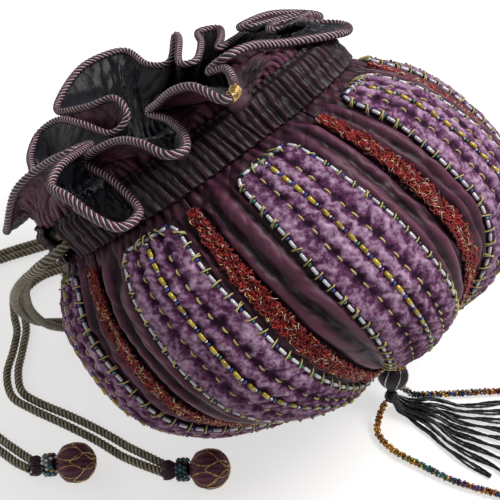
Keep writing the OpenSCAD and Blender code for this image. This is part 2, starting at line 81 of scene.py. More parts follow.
def curveThrough(points, steps, closed=False):  # Catmull-Rom
    p = np.asarray(points, float)
    n = len(p)
    i = np.arange(n if closed else n - 1)
    pick = (lambda k: p[k % n]) if closed else (lambda k: p[np.clip(k, 0, n - 1)])
    a, b, c, d = pick(i - 1), pick(i), pick(i + 1), pick(i + 2)
    out = []
    for s in range(steps):
        t = s / steps
        out.append(0.5 * (2 * b + (c - a) * t + (2 * a - 5 * b + 4 * c - d) * t * t
                          + (3 * b - a - 3 * c + d) * t ** 3))
    line = np.stack(out, 1).reshape(-1, p.shape[1])
    return line if closed else np.vstack([line, p[-1:]])


def runOf(line, closed=False):
    ends = np.vstack([line, line[:1]]) if closed else line
    return np.concatenate([[0], np.cumsum(np.linalg.norm(np.diff(ends, axis=0), axis=1))])


def spaced(line, step, closed=False):
    ends = np.vstack([line, line[:1]]) if closed else line
    run = runOf(line, closed)
    count = max(2, int(round(run[-1] / step)))
    at = np.linspace(0, run[-1], count + 1)
    at = at[:-1] if closed else at
    return np.stack([np.interp(at, run, ends[:, k]) for k in range(ends.shape[1])], 1)


def framesOf(line, closed=False):  # directions and a normal carried along without twisting
    ahead, behind = np.roll(line, -1, 0), np.roll(line, 1, 0)
    if not closed:
        ahead[-1], behind[0] = line[-1], line[0]
    d = unit(ahead - behind)
    n = np.zeros_like(d)
    v = np.array([0.0, 0, 1]) if abs(d[0][2]) < 0.9 else np.array([1.0, 0, 0])
    for i in range(len(d)):
        v = v - v.dot(d[i]) * d[i]
        v = v / math.sqrt(v.dot(v))
        n[i] = v
    b = np.cross(d, n)
    if closed:  # the leftover twist is shared out along the loop
        v = n[-1] - n[-1].dot(d[0]) * d[0]
        gap = math.atan2(v.dot(b[0]), v.dot(n[0]))
        turn = -gap * np.arange(len(d)) / len(d)
        n = n * np.cos(turn)[:, None] + b * np.sin(turn)[:, None]
        b = np.cross(d, n)
    return d, n, b


def gridFaces(rows, cols, wrap=False, start=0):
    i, j = np.meshgrid(np.arange(rows - 1), np.arange(cols if wrap else cols - 1), indexing="ij")
    j2 = (j + 1) % cols
    return start + np.stack([i * cols + j, i * cols + j2, (i + 1) * cols + j2, (i + 1) * cols + j], -1).reshape(-1, 4)


def tubes(paths, refs, radius, sides=6, closed=False, material=0):
    # Many tubes at once: paths is (tubes, points, 3); refs are vectors across each path; radius is (tubes, points).
    paths, refs = np.asarray(paths, float), np.asarray(refs, float)
    if paths.ndim == 2:
        paths = paths[None]
    k, n = paths.shape[:2]
    refs = np.broadcast_to(refs, paths.shape)
    radius = np.broadcast_to(np.asarray(radius, float), (k, n))
    if closed:
        d = unit(np.roll(paths, -1, 1) - np.roll(paths, 1, 1))
    else:
        d = unit(np.concatenate([paths[:, 1:2] - paths[:, :1], paths[:, 2:] - paths[:, :-2],
                                 paths[:, -1:] - paths[:, -2:-1]], 1))
    b = unit(np.cross(d, refs))
    a = np.cross(b, d)
    if not closed:  # rounded ends
        cap = np.minimum(radius[:, [0, -1]], 5)
        first = paths[:, :1] - d[:, :1] * cap[:, :1, None] * 0.3
        paths = np.concatenate([first, paths, paths[:, -1:] + d[:, -1:] * cap[:, 1:, None] * 0.3], 1)
        a, b = (np.concatenate([v[:, :1], v, v[:, -1:]], 1) for v in (a, b))
        radius = np.concatenate([radius[:, :1] * 0.15, radius, radius[:, -1:] * 0.15], 1)
        n += 2
    s = 2 * np.pi * np.arange(sides) / sides
    out = np.cos(s)[:, None] * a[:, :, None] + np.sin(s)[:, None] * b[:, :, None]
    points = paths[:, :, None] + radius[:, :, None, None] * out
    ring = gridFaces(n + 1 if closed else n, sides, True)
    ring = ring % (n * sides) if closed else ring
    faces = (ring[None] + (np.arange(k) * n * sides)[:, None, None]).reshape(-1, 4)
    along = np.concatenate([np.zeros((k, 1)), np.cumsum(np.linalg.norm(np.diff(paths, axis=1), axis=2), 1)], 1)
    # across a tube the pattern runs from 3 on its outer side to 0 on its inner side
    uv = np.stack(np.broadcast_arrays((3 * np.abs(s / np.pi - 1))[None, None], along[:, :, None]), -1).reshape(-1, 2)
    return points.reshape(-1, 3), faces[:, ::-1], material, uv


def beads(places, axes, profile, sides=8, material=0):
    # Turned shapes set on their axes; profile is a list of (place along the axis, radius).
    places, axes = np.atleast_2d(places), unit(np.broadcast_to(axes, np.shape(np.atleast_2d(places))))
    along, radius = np.array(profile, float).T
    paths = places[:, None] + along[None, :, None] * axes[:, None]
    across = np.where(np.abs(axes[:, 2:3]) < 0.9, [[0, 0, 1.0]], [[1.0, 0, 0]])
    return tubes(paths, across[:, None], radius[None], sides, material=material)


def seedBead(d):  # a round bead with a soft shoulder
    r = d / 2
    return [(-0.62 * r, 0.5 * r), (-0.45 * r, 0.85 * r), (0, r), (0.45 * r, 0.85 * r), (0.62 * r, 0.5 * r)]


def bugleBead(length, d):
    r, h = d / 2, length / 2
    return [(-h, 0.62 * r), (-h + 0.18 * r, 0.98 * r), (0, r), (h - 0.18 * r, 0.98 * r), (h, 0.62 * r)]


def wall(outer, inner, wrap=False, material=0, uv=None):
    # A closed sheet between two grids of the same size.
    n, m = outer.shape[:2]
    points = np.concatenate([outer.reshape(-1, 3), inner.reshape(-1, 3)])
    k = n * m
    front = gridFaces(n, m, wrap)
    c = np.arange(m if wrap else m - 1)
    c2, e = (c + 1) % m, (n - 1) * m
    parts = [front[:, ::-1], front + k, np.stack([c, c2, k + c2, k + c], 1),
             np.stack([e + c, k + e + c, k + e + c2, e + c2], 1)]
    if not wrap:
        r = np.arange(n - 1) * m
        parts += [np.stack([r, k + r, k + r + m, r + m], 1)]
        r = r + m - 1
        parts += [np.stack([r, r + m, k + r + m, k + r], 1)]
    uv = np.zeros((n, m, 2)) if uv is None else uv
    return points, np.concatenate(parts), material, np.concatenate([uv.reshape(-1, 2)] * 2)


def bothFaces(share):  # how far up a fold each point lies, the same on both faces of a wall; the cloth materials paint it as shade low in a fold and light high up
    return {"fold": np.concatenate([np.asarray(share).reshape(-1)] * 2)}


def flatPlace(across, up):  # where each point lies on the flat cloth, in millimetres
    return np.stack(np.broadcast_arrays(across, up), -1)


def makeObject(name, parts, materials, body=None, replaces=(), fields=None):
    parts = parts if isinstance(parts, list) else [parts]
    materials = materials if isinstance(materials, (list, tuple)) else [materials]
    start, points, faces, index, uvs = 0, [], [], [], []
    for p, f, m, uv in parts:
        points.append(p)
        faces.append(f + start)
        index.append(np.full(len(f), m))
        uvs.append(uv)
        start += len(p)
    points, faces, index, uvs = (np.concatenate(x) for x in (points, faces, index, uvs))
    points[:, 2] = np.maximum(points[:, 2], bag["pressed"])  # what the bag rests on is pressed flat
    mesh = bpy.data.meshes.new(name)
    mesh.from_pydata((points * 0.001).tolist(), [], faces.tolist())
    for m in materials:
        mesh.materials.append(m)
    mesh.polygons.foreach_set("material_index", index.astype(np.int32))
    mesh.polygons.foreach_set("use_smooth", np.ones(len(faces), bool))
    layer = mesh.uv_layers.new(name="millimetres")
    layer.data.foreach_set("uv", uvs[faces.reshape(-1)].astype(np.float32).reshape(-1))
    for key, values in (fields or {}).items():
        field = mesh.attributes.new(key, "FLOAT", "POINT")
        field.data.foreach_set("value", np.asarray(values, np.float32).reshape(-1))
    mesh.update()
    piece = bpy.data.objects.new(name, mesh)
    bpy.context.scene.collection.objects.link(piece)
    if replaces:
        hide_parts(*replaces)
    if body:
        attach(piece, body)
    return piece


# The filled bag's form, as in the CAD source
def outline(t):  # t runs from 0 at the base to 1 at the neck
    t = np.asarray(t, float)
    x = np.clip(2 * t - 1, 0, None)
    full = bag["bodyRadius"] - bag["puff"]
    r = np.where(t < 0.5, full * np.sin(np.pi * t),
                 bag["neckRadius"] + (full - bag["neckRadius"]) * (1 - x ** bag["shoulder"]))
    w = np.where(t < 0.5, bag["girth"] * (1 - np.cos(np.pi * t)),
                 bag["girth"] + x * (bag["bodyLength"] - bag["girth"]))
    return r, w


def puffAt(angle, t):
    a = np.where(angle < trimAt[0], angle + 360, angle)
    k = np.clip(np.searchsorted(trimAt, a, side="right") - 1, 0, 8)
    x = 2 * (a - trimAt[k]) / (trimAt[k + 1] - trimAt[k]) - 1
    return bag["puff"] * (1 - x * x) * np.minimum(1, 6 * (t - bag["poleStart"])) * np.minimum(1, 5 * (1 - t))


def offAxis(angle, r, w):
    a, v = np.radians(angle), w - bag["girth"]
    return ((r * np.cos(a) * bag["oval"] + bag["lean"] * v)[..., None] * side
            + (r * np.sin(a) / bag["oval"])[..., None] * rise + v[..., None] * mouth)


def cloth(angle, t, out, top, bulge=1):
    angle, t, out = np.broadcast_arrays(np.asarray(angle, float), np.asarray(t, float), np.asarray(out, float))
    r, w = outline(t)
    r0, w0 = outline(np.maximum(t - 0.01, 0))
    r1, w1 = outline(np.minimum(t + 0.01, 1))
    size = np.hypot(r1 - r0, w1 - w0)
    p = out + bulge * puffAt(np.mod(angle, 360), t)
    q = centre + offAxis(angle, r + p * (w1 - w0) / size, w - p * (r1 - r0) / size)
    q[..., 2] = np.maximum(q[..., 2], top - out)
    return q


def outOf(angle, t):  # the way out of the skin
    return unit(cloth(angle, t, 12.0, -50) - cloth(angle, t, 2.0, -50))


def neckPoint(angle, r, past):
    angle, r, past = np.broadcast_arrays(np.asarray(angle, float), np.asarray(r, float), np.asarray(past, float))
    return centre + offAxis(angle, r, bag["bodyLength"] + past)


def halfAngle(width, t, most):
    wide = width * (1 - 0.28 * np.clip((t - 0.6) / 0.33, 0, None))
    return np.minimum(most, np.degrees(wide / 2 / outline(t)[0]))


def trimHalf(t):
    return halfAngle(bag["trimWidth"], t, 5)


def velvetOn(k):  # the gore's velvet strip, and its angle, counted on past 360
    return (k + 1) % 9, bag["velvetAt"][(k + 1) % 9] + (360 if k == 8 else 0)


def velvetHalf(k, t):
    at = bag["velvetAt"][k]
    before = trimAt[8] - 360 if k == 0 else trimAt[k - 1]
    return halfAngle(bag["velvetWidth"], t, min(at - before, trimAt[k] - at) - trimHalf(t) - 0.8)


tLine = np.linspace(0, 1, 801)
radiusLine, placeLine = outline(tLine)
# millimetres up the skin
runLine = np.concatenate([[0], np.cumsum(np.hypot(np.diff(radiusLine), np.diff(placeLine)))])


# Small tools for materials
def linear(hexColour):
    value = int(hexColour.lstrip("#"), 16)
    parts = [((value >> shift) & 255) / 255 for shift in (16, 8, 0)]
    return tuple(p / 12.92 if p <= 0.04045 else ((p + 0.055) / 1.055) ** 2.4 for p in parts) + (1.0,)


def feed(tree, node, sources):  # {input: the output it takes, or a node, for that node's first output}
    for name, source in sources.items():
        tree.links.new(source.outputs[0] if isinstance(source, bpy.types.Node) else source, node.inputs[name])


def addNode(tree, kind, settings=None, links=None):
    node = tree.nodes.new("ShaderNode" + kind)
    for name, value in (settings or {}).items():
        if name == "ramp":
            while len(node.color_ramp.elements) < len(value):
                node.color_ramp.elements.new(0.5)
            for element, (place, colour) in zip(node.color_ramp.elements, value):
                element.position, element.color = place, linear(colour)
        elif isinstance(name, int) or name in node.inputs:
            node.inputs[name].default_value = value
        else:
            setattr(node, name, value)
    feed(tree, node, links or {})
    return node


def newMaterial(name, settings, colour=None):
    material = bpy.data.materials.new(name)
    material.use_nodes = True
    tree = material.node_tree
    shader = tree.nodes["Principled BSDF"]
    for key, value in settings.items():
        shader.inputs[key].default_value = value
    if colour:
        shader.inputs["Base Color"].default_value = linear(colour)
    return material, tree, shader


# Camera
view = {
    "place": (0.1900, -0.2095, 0.4014), "lens": 84.6,
    "direction": (-0.46119, 0.45239, -0.76331), "up": (-0.50370, 0.57473, 0.64496),
}
camera = bpy.data.objects.new("camera", bpy.data.cameras.new("camera"))
bpy.context.scene.collection.objects.link(camera)
back = -Vector(view["direction"]).normalized()
across = Vector(view["up"]).cross(back).normalized()
upward = back.cross(across)
camera.matrix_world = Matrix.Translation(view["place"]) @ Matrix((across, upward, back)).transposed().to_4x4()
camera.data.lens = view["lens"]
camera.data.sensor_width = 36
camera.data.clip_start, camera.data.clip_end = 0.01, 20
bpy.context.scene.camera = camera
bpy.context.scene.view_settings.view_transform = "Standard"


# Drawstrings
cordSizes = {
    "strands": 3, "strandRadius": 0.88, "twistRadius": 0.9,
    "lay": 5.6,  # millimetres for one whole turn of the cord
    "lie": 1.9,  # height of the cord's middle on the table
    "cased": ((3.3, 2), (7.2, 186)),  # millimetres past the gores, and the degrees where each leaves the casing
    # dark, mid and pale bronze: the cord's ramp runs from painted shade in the grooves to painted light on the
    # strands' backs, with uneven dye between
    "colours": ("#3a3328", "#82775f", "#cdc3a8"),
}


def paintedGrooveShading(tree, spot, depth):  # painted shade where a strand turns in against the next, painted light on its back
    parts = addNode(tree, "SeparateXYZ", None, {"Vector": spot.outputs["UV"]})
    return addNode(tree, "MapRange", {"From Min": 1.3, "From Max": 2.9, "To Max": depth}, {"Value": parts})


def cordRayon():  # spun rayon, plied and polished: bronze ribs with a soft metallic glint, painted light on the ribs and painted shade in the grooves
    material, tree, shader = newMaterial("pliedBronzeRayon",
                                         {"Roughness": 0.36, "Specular IOR Level": 0.55, "IOR": 1.53,
                                          "Sheen Weight": 0.06, "Sheen Roughness": 0.4})
    spot = addNode(tree, "TexCoord")
    # uneven dye, in patches of 3.8 mm
    tone = addNode(tree, "TexNoise", {"Scale": 260.0, "Detail": 3.0, "Roughness": 0.6},
                   {"Vector": spot.outputs["Object"]})
    # painted shade in the grooves and painted light on the strands' backs, added to the dye's patches
    mixed = addNode(tree, "Math", {"operation": "MULTIPLY_ADD", 1: 0.5}, {0: tone, 2: paintedGrooveShading(tree, spot, 0.62)})
    ramp = addNode(tree, "ValToRGB",
                   {"ramp": [(0.22, "#0c0a07"), (0.42, cordSizes["colours"][0]), (0.7, cordSizes["colours"][1]),
                             (0.92, cordSizes["colours"][2])]}, {"Fac": mixed})
    # fibres of 0.1 mm drawn at 0.25 mm, so that they show
    turned = addNode(tree, "Mapping", {"Scale": (2.6, 0.35, 1)}, {"Vector": spot.outputs["UV"]})
    fibre = addNode(tree, "TexNoise", {"Scale": 1.6, "Detail": 2.0}, {"Vector": turned})
    bump = addNode(tree, "Bump", {"Strength": 0.5, "Distance": 0.0002}, {"Height": fibre})
    rough = addNode(tree, "MapRange", {"To Min": 0.28, "To Max": 0.55}, {"Value": fibre})
    feed(tree, shader, {"Base Color": ramp, "Roughness": rough, "Normal": bump})
    return material


def twisted(line, sizes, closed=False, sides=7, materials=None):
    strands, strandRadius = sizes["strands"], sizes["strandRadius"]
    d, n, b = framesOf(line, closed)
    run = runOf(line, closed)
    total = run[-1]
    turns = max(1, round(total / sizes["lay"])) if closed else total / sizes["lay"]
    angle = 2 * np.pi * turns * run[:len(line)] / total
    out = []
    for k in range(strands):
        a = angle + 2 * np.pi * k / strands
        ref = n * np.cos(a)[:, None] + b * np.sin(a)[:, None]
        radius = strandRadius[k] if isinstance(strandRadius, tuple) else strandRadius
        out.append(tubes(line + sizes["twistRadius"] * ref, ref, radius, sides, closed,
                         (materials or [0] * strands)[k]))
    return out


def laidLine(points, low, step=0.7):
    line = curveThrough(points, 12)
    line[:, 2] = np.maximum(line[:, 2], low)
    return spaced(line, step)


rayon = cordRayon()
routes = {
    "tailAInner": ([
        (-39.5, -73, 101.5), (-42, -78.5, 98), (-47, -81.5, 91), (-53, -82.5, 80), (-61, -80, 64),
        (-70, -75, 42), (-76, -67, 20), (-78, -58, 6), (-72, -49, 0), (-63, -40, 0), (-60, -28, 0),
        (-66, -18, 0), (-80, -16, 0), (-96, -22, 0), (-108, -32, 0), (-114, -45, 0), (-112, -58, 0),
        (-103, -66, 0), (-95, -71, 0), (-88, -79, 0), (-81, -88, 0), (-71, -93.5, 0), (-60.4, -92.1, 0),
        (-45, -88, 0), (-30, -84.5, 0), (-14, -82, 2.6), (1.5, -77.9, 5)], "a"),
    "tailAOuter": ([
        (-36, -72.5, 106), (-38.5, -81, 101.5), (-45.5, -85.5, 92.5), (-53.5, -86.5, 80), (-62.5, -84, 64),
        (-72.5, -78, 42), (-79.5, -68.5, 20), (-82, -57, 6), (-75, -46.5, 0), (-66.5, -38, 0), (-64, -28.5, 0),
        (-68, -21.5, 0), (-79.5, -20, 0), (-94, -25.5, 0), (-105, -34.5, 0), (-110, -45.5, 0),
        (-108.5, -56, 0), (-100.5, -62.5, 0), (-92.5, -68, 0), (-85, -76.5, 0), (-78.5, -84, 0),
        (-70, -89.2, 0), (-60.4, -88.1, 0), (-45, -83.5, 0), (-30, -80, 0), (-15, -77.5, 2.6), (-0.5, -75, 5)], "a"),
    "tailBInner": ([
        (-47, 52.8, 99), (-50, 58, 94.5), (-56, 66, 81), (-63.5, 71.5, 58), (-72, 72, 34), (-80, 67, 12),
        (-87, 54, 0), (-96, 32, 0), (-104, 8, 0), (-112, -12, 0), (-121, -30, 0), (-130, -48, 0),
        (-137, -66, 0), (-136, -84, 0), (-126, -98, 0), (-110, -107, 0), (-90, -111, 0), (-70, -110, 0),
        (-62, -109.5, 0), (-54, -109, 2.2), (-46, -108.5, 3.6), (-40, -108, 4.9)], "b"),
    "tailBOuter": ([
        (-43, 52.8, 103.5), (-46, 60, 98), (-53, 69, 81), (-62, 75.5, 58), (-73, 76, 34), (-83, 69.5, 12),
        (-90.5, 55.5, 0), (-100, 33.5, 0), (-108, 9.5, 0), (-115.5, -10.5, 0), (-124.5, -28, 0),
        (-133.5, -46.5, 0), (-141, -65.5, 0), (-140, -85.5, 0), (-128.5, -101, 0), (-111.5, -111, 0),
        (-90.5, -115, 0), (-70, -114, 0), (-62, -113.6, 0), (-54, -113, 2.2), (-45, -112.5, 3.6),
        (-38, -111.1, 4.9)], "b"),
}
cords = {}
for name, (points, end) in routes.items():
    line = laidLine(points, cordSizes["lie"])
    piece = makeObject(name, twisted(line, cordSizes), rayon,
                       replaces=(f"tail_{end}_{name[5:].lower()}", f"end_{end}_{name[5:].lower()}"))
    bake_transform(piece)
    cords[name] = (piece, line, end)
print("drawstring tails laid:", {name: round(float(runOf(line)[-1])) for name, (piece, line, end) in cords.items()})

for k, (past, exitAt) in enumerate(cordSizes["cased"]):  # the part of each drawstring inside the casing
    angle = np.linspace(exitAt + 3, exitAt + 357, 400)
    line = spaced(neckPoint(angle, bag["neckRadius"], past), 0.9)
    makeObject("casedCord" + "AB"[k], twisted(line, cordSizes, sides=6), rayon, "bag", ("drawstring_" + "ab"[k],))


# Beads, threads and cloths
def glass(name, colour, dark, gloss=0.1, metal=0.0):  # pressed glass: a saturated body under a clear hard shine
    material, tree, shader = newMaterial(name,
                                         {"Roughness": gloss, "IOR": 1.52, "Metallic": metal, "Coat Weight": 0.6,
                                          "Coat Roughness": 0.05})
    spot = addNode(tree, "TexCoord")
    # the colour drifts every 4 mm, so neighbouring beads differ a little
    tone = addNode(tree, "TexNoise", {"Scale": 240.0, "Detail": 1.0}, {"Vector": spot.outputs["Object"]})
    ramp = addNode(tree, "ValToRGB", {"ramp": [(0.38, dark), (0.6, colour)]}, {"Fac": tone})
    feed(tree, shader, {"Base Color": ramp})
    return material


def floss(name, colour, dark, rough=0.5, sheen=0.3, pitch=3.0):
    # stranded silk floss: fine parallel filaments that gleam softly along the thread
    material, tree, shader = newMaterial(name, {"Roughness": rough, "IOR": 1.54, "Sheen Weight": sheen,
                                                "Sheen Roughness": 0.35})
    spot = addNode(tree, "TexCoord")
    grain = addNode(tree, "Mapping", {"Scale": (pitch, 0.3, 1)}, {"Vector": spot.outputs["UV"]})
    # filaments of 0.02 mm drawn 0.1 mm apart, so that they show, with shades that drift every 2.4 mm
    strand = addNode(tree, "TexNoise", {"Scale": 1.2, "Detail": 2.0}, {"Vector": grain})
    tone = addNode(tree, "TexNoise", {"Scale": 420.0, "Detail": 2.0}, {"Vector": spot.outputs["Object"]})
    both = addNode(tree, "Math", {"operation": "ADD"}, {0: strand, 1: tone})
    ramp = addNode(tree, "ValToRGB", {"ramp": [(0.36, dark), (0.62, colour)]})
    # painted shade where a strand turns in against the next, painted light on its back
    lit = addNode(tree, "Math", {"operation": "SUBTRACT", 1: 0.14}, {0: paintedGrooveShading(tree, spot, 0.24)})
    half = addNode(tree, "Math", {"operation": "MULTIPLY_ADD", 1: 0.5}, {0: both, 2: lit})
    feed(tree, ramp, {"Fac": half})
    bump = addNode(tree, "Bump", {"Strength": 0.4, "Distance": 0.00015}, {"Height": strand})
    feed(tree, shader, {"Base Color": ramp, "Normal": bump})
    return material


def metalThread(name, colour, dark, rough=0.32):  # foil wound on a core: broken sparkles about 1 mm apart
    material, tree, shader = newMaterial(name, {"Metallic": 0.85, "Roughness": rough})
    spot = addNode(tree, "TexCoord")
    tone = addNode(tree, "TexNoise", {"Scale": 900.0, "Detail": 2.0}, {"Vector": spot.outputs["Object"]})
    ramp = addNode(tree, "ValToRGB", {"ramp": [(0.38, dark), (0.6, colour)]}, {"Fac": tone})
    bump = addNode(tree, "Bump", {"Strength": 0.6, "Distance": 0.0002}, {"Height": tone})
    feed(tree, shader, {"Base Color": ramp, "Normal": bump})
    return material


# the silk's ramp: painted shade in a fold's valley, the cloth's own colour, painted highlight on its ridge; and the
# tint of its sheen
silkColours = {"valley": "#0a0307", "cloth": "#381828", "ridge": "#6b3c51", "sheen": "#a58aa0"}


def wovenSilk(name="gatheredSilk", colours=silkColours, rough=0.44):
    # dyed silk, plain woven: a soft narrow shine on the folds, lifted by painted highlight on the ridges, slubs
    # across, and near-black valleys of painted shade
    material, tree, shader = newMaterial(name, {"Roughness": rough, "IOR": 1.54, "Specular IOR Level": 0.3,
                                                "Sheen Weight": 0.08, "Sheen Roughness": 0.3})
    shader.inputs["Sheen Tint"].default_value = linear(colours["sheen"])
    spot = addNode(tree, "TexCoord")
    deep = addNode(tree, "Attribute", {"attribute_name": "fold"})
    # dye that took unevenly, in patches of 22 mm, and slubs 0.4 mm high and 4 mm long
    tone = addNode(tree, "TexNoise", {"Scale": 46.0, "Detail": 4.0, "Roughness": 0.6},
                   {"Vector": spot.outputs["Object"]})
    slubAt = addNode(tree, "Mapping", {"Scale": (0.25, 2.4, 1)}, {"Vector": spot.outputs["UV"]})
    slub = addNode(tree, "TexNoise", {"Scale": 1.0, "Detail": 3.0, "Roughness": 0.7}, {"Vector": slubAt})
    # threads of 0.2 mm drawn 1 mm apart, so that the weave shows
    weave = addNode(tree, "TexWave", {"Scale": 0.32, "Distortion": 1.5, "Detail": 1.0, "bands_direction": "Y"},
                    {"Vector": spot.outputs["UV"]})
    # soft creases, 5 mm apart
    crush = addNode(tree, "TexNoise", {"Scale": 190.0, "Detail": 4.0, "Roughness": 0.62},
                    {"Vector": spot.outputs["Object"]})
    # how far up its fold a point lies, painted as shade in the valleys and light on the ridges, over the dye's
    # patches
    mixed = addNode(tree, "Math", {"operation": "MULTIPLY_ADD", 1: 0.75}, {0: deep.outputs["Fac"]})
    part = addNode(tree, "Math", {"operation": "MULTIPLY_ADD", 1: 0.8, 2: -0.22}, {0: tone})
    feed(tree, mixed, {2: part})
    slubTone = addNode(tree, "Math", {"operation": "MULTIPLY_ADD", 1: 0.22}, {0: slub, 2: mixed})
    ramp = addNode(tree, "ValToRGB",
                   {"ramp": [(0.18, colours["valley"]), (0.58, colours["cloth"]), (1.0, colours["ridge"])]},
                   {"Fac": slubTone})
    height = addNode(tree, "Math", {"operation": "MULTIPLY_ADD", 1: 0.5}, {0: slub, 2: weave.outputs["Fac"]})
    fine = addNode(tree, "Bump", {"Strength": 0.1, "Distance": 0.0002}, {"Height": height})
    creased = addNode(tree, "Bump", {"Strength": 0.4, "Distance": 0.0007}, {"Height": crush, "Normal": fine})
    # crisp cloth breaks in long sharp ridges, 10 mm apart across and 30 mm along
    creaseAt = addNode(tree, "Mapping", {"Scale": (0.1, 0.034, 1)}, {"Vector": spot.outputs["UV"]})
    wander = addNode(tree, "TexNoise", {"Scale": 1.0, "Detail": 2.0, "Roughness": 0.45}, {"Vector": creaseAt})
    fromMiddle = addNode(tree, "Math", {"operation": "SUBTRACT", 1: 0.5}, {0: wander})
    away = addNode(tree, "Math", {"operation": "ABSOLUTE"}, {0: fromMiddle})
    crest = addNode(tree, "Math", {"operation": "MULTIPLY", 1: -1.0}, {0: away})
    broken = addNode(tree, "Bump", {"Strength": 0.8, "Distance": 0.004}, {"Height": crest, "Normal": creased})
    gloss = addNode(tree, "MapRange", {"To Min": rough - 0.1, "To Max": rough + 0.18}, {"Value": slub})
    feed(tree, shader, {"Base Color": ramp, "Roughness": gloss, "Normal": broken})
    return material


# the velvet's ramp: painted shade in the stitched grooves, the pile's own colour, painted highlight on the puffed
# crests; and the tint of its sheen
velvetColours = {"valley": "#2a0f28", "pile": "#6b3b61", "crest": "#dfb9d9", "sheen": "#efd3ea"}


def crushedVelvet():
    # silk velvet, stitched through: pale with painted highlight on the puffs, dark with painted shade where the
    # stitches hold it down, and mottled where the pile leans in clumps
    material, tree, shader = newMaterial("crushedVelvet",
                                         {"Roughness": 0.8, "Specular IOR Level": 0.2, "Sheen Weight": 0.35,
                                          "Sheen Roughness": 0.25})
    shader.inputs["Sheen Tint"].default_value = linear(velvetColours["sheen"])
    spot = addNode(tree, "TexCoord")
    ridge = addNode(tree, "Attribute", {"attribute_name": "fold"})
    # tufts of pile lean together in clumps of 2 mm, and the cloth was crushed in patches of 10 mm
    crush = addNode(tree, "TexNoise", {"Scale": 520.0, "Detail": 3.0, "Roughness": 0.6},
                    {"Vector": spot.outputs["Object"]})
    patch = addNode(tree, "TexNoise", {"Scale": 95.0, "Detail": 3.0}, {"Vector": spot.outputs["Object"]})
    first = addNode(tree, "Math", {"operation": "MULTIPLY_ADD", 1: 1.25, 2: -0.94}, {0: crush})
    # the puffs' share: painted highlight on the crests, painted shade in the stitched grooves
    second = addNode(tree, "Math", {"operation": "MULTIPLY_ADD", 1: 0.72}, {0: ridge.outputs["Fac"], 2: first})
    third = addNode(tree, "Math", {"operation": "MULTIPLY_ADD", 1: 0.6}, {0: patch, 2: second})
    ramp = addNode(tree, "ValToRGB",
                   {"ramp": [(0.12, velvetColours["valley"]), (0.42, velvetColours["pile"]),
                             (0.92, velvetColours["crest"])]}, {"Fac": third})
    # pile of 0.1 mm drawn at 0.8 mm, so that it shows
    pile = addNode(tree, "TexNoise", {"Scale": 1300.0, "Detail": 2.0}, {"Vector": spot.outputs["Object"]})
    fine = addNode(tree, "Bump", {"Strength": 0.35, "Distance": 0.0003}, {"Height": pile})
    lean = addNode(tree, "Bump", {"Strength": 0.25, "Distance": 0.0005}, {"Height": crush, "Normal": fine})
    feed(tree, shader, {"Base Color": ramp, "Normal": lean})
    return material


# Each thing's own look: near-black wine silks, black satin, glass in clear lively colours, threads and yarns; the
# cloths carry painted shade and painted light in their folds
silk = wovenSilk()
# the gores' silk again, darker all over: painted shade in the deep gathers at the neck
casingSilkInShade = wovenSilk("drawnSilkInShade",
                       {"valley": "#050204", "cloth": "#1d0d16", "ridge": "#4c2c3b", "sheen": "#a58aa0"}, 0.4)
satin = wovenSilk("blackSatin",
                  {"valley": "#030305", "cloth": "#0c0c12", "ridge": "#1e1f2a", "sheen": "#7f8694"}, 0.42)
velvet = crushedVelvet()
ballSilk = wovenSilk("embroideredSilk",
                     {"valley": "#1d0a14", "cloth": "#4a1f30", "ridge": "#70394c", "sheen": "#a58aa0"}, 0.45)
yellowGlass = glass("yellowGlass", "#dcc23a", "#97801c")
whiteGlass = glass("whiteGlass", "#f2f2f5", "#c9cbd6")
blueGlass = glass("blueGlass", "#23489c", "#122554")
greenGlass = glass("greenGlass", "#3f8a55", "#1f4a2e")
tealGlass = glass("tealGlass", "#2c8f90", "#123e48", 0.12, 0.2)
darkGlass = glass("ironGlass", "#2a2b3c", "#0c0c12", 0.12, 0.3)
goldGlass = glass("goldLinedGlass", "#d9a441", "#8f5f1c", 0.18, 0.55)
amberGlass = glass("amberGlass", "#c26a1e", "#7a3410")
violetGlass = glass("violetGlass", "#6d3f8e", "#331c4a")
copperGlass = glass("copperLinedGlass", "#b9653f", "#6b2f1c", 0.2, 0.6)
silverGlass = glass("silverLinedGlass", "#b9c0cc", "#5f6676", 0.15, 0.6)
yellowFloss = floss("yellowFloss", "#dccf84", "#a3923f")
redYarn = floss("redBoucleYarn", "#a8141b", "#3a0508", 0.5, 0.1)
rustYarn = floss("rustBoucleYarn", "#8e2a1a", "#2c0b06", 0.5, 0.2)
brightYarn = floss("brightBoucleYarn", "#dc3a34", "#8a1214", 0.35, 0.1)
goldThread = metalThread("goldLurex", "#f0cf94", "#a0702c")
whiteThread = floss("whiteLurex", "#f3e3da", "#c8a89a", 0.35, 0.2)
burgundyFloss = floss("burgundyFloss", "#5c1a30", "#1f0810", 0.4, 0.1)
paleFloss = floss("paleFloss", "#efd9dd", "#b98795", 0.35, 0.1)
blackRayon = floss("blackRayon", "#1c1c22", "#08080a", 0.28, 0.15)
darkFloss = floss("plumFloss", "#35202e", "#120a10", 0.45, 0.15)
tuftSilk = floss("frayedSilk", "#5a3045", "#1f0e18", 0.5, 0.1)
silverThread = metalThread("silverThread", "#eceef2", "#9a9ca6")
print("materials made")


# Cloth, let out and settled
clothSizes = {
    "frames": 18, "quality": 4, "stretch": 25.0, "shear": 4.0, "drag": 2.0,
    # spare cloth across and along, pressure behind it, and how stiffly it bends
    "silk": (0.24, 0.15, 0.0, 0.03), "velvet": (0.06, 0.06, 0.6, 0.05), "frill": (0.07, 0.03, 0.0, 0.06),
}


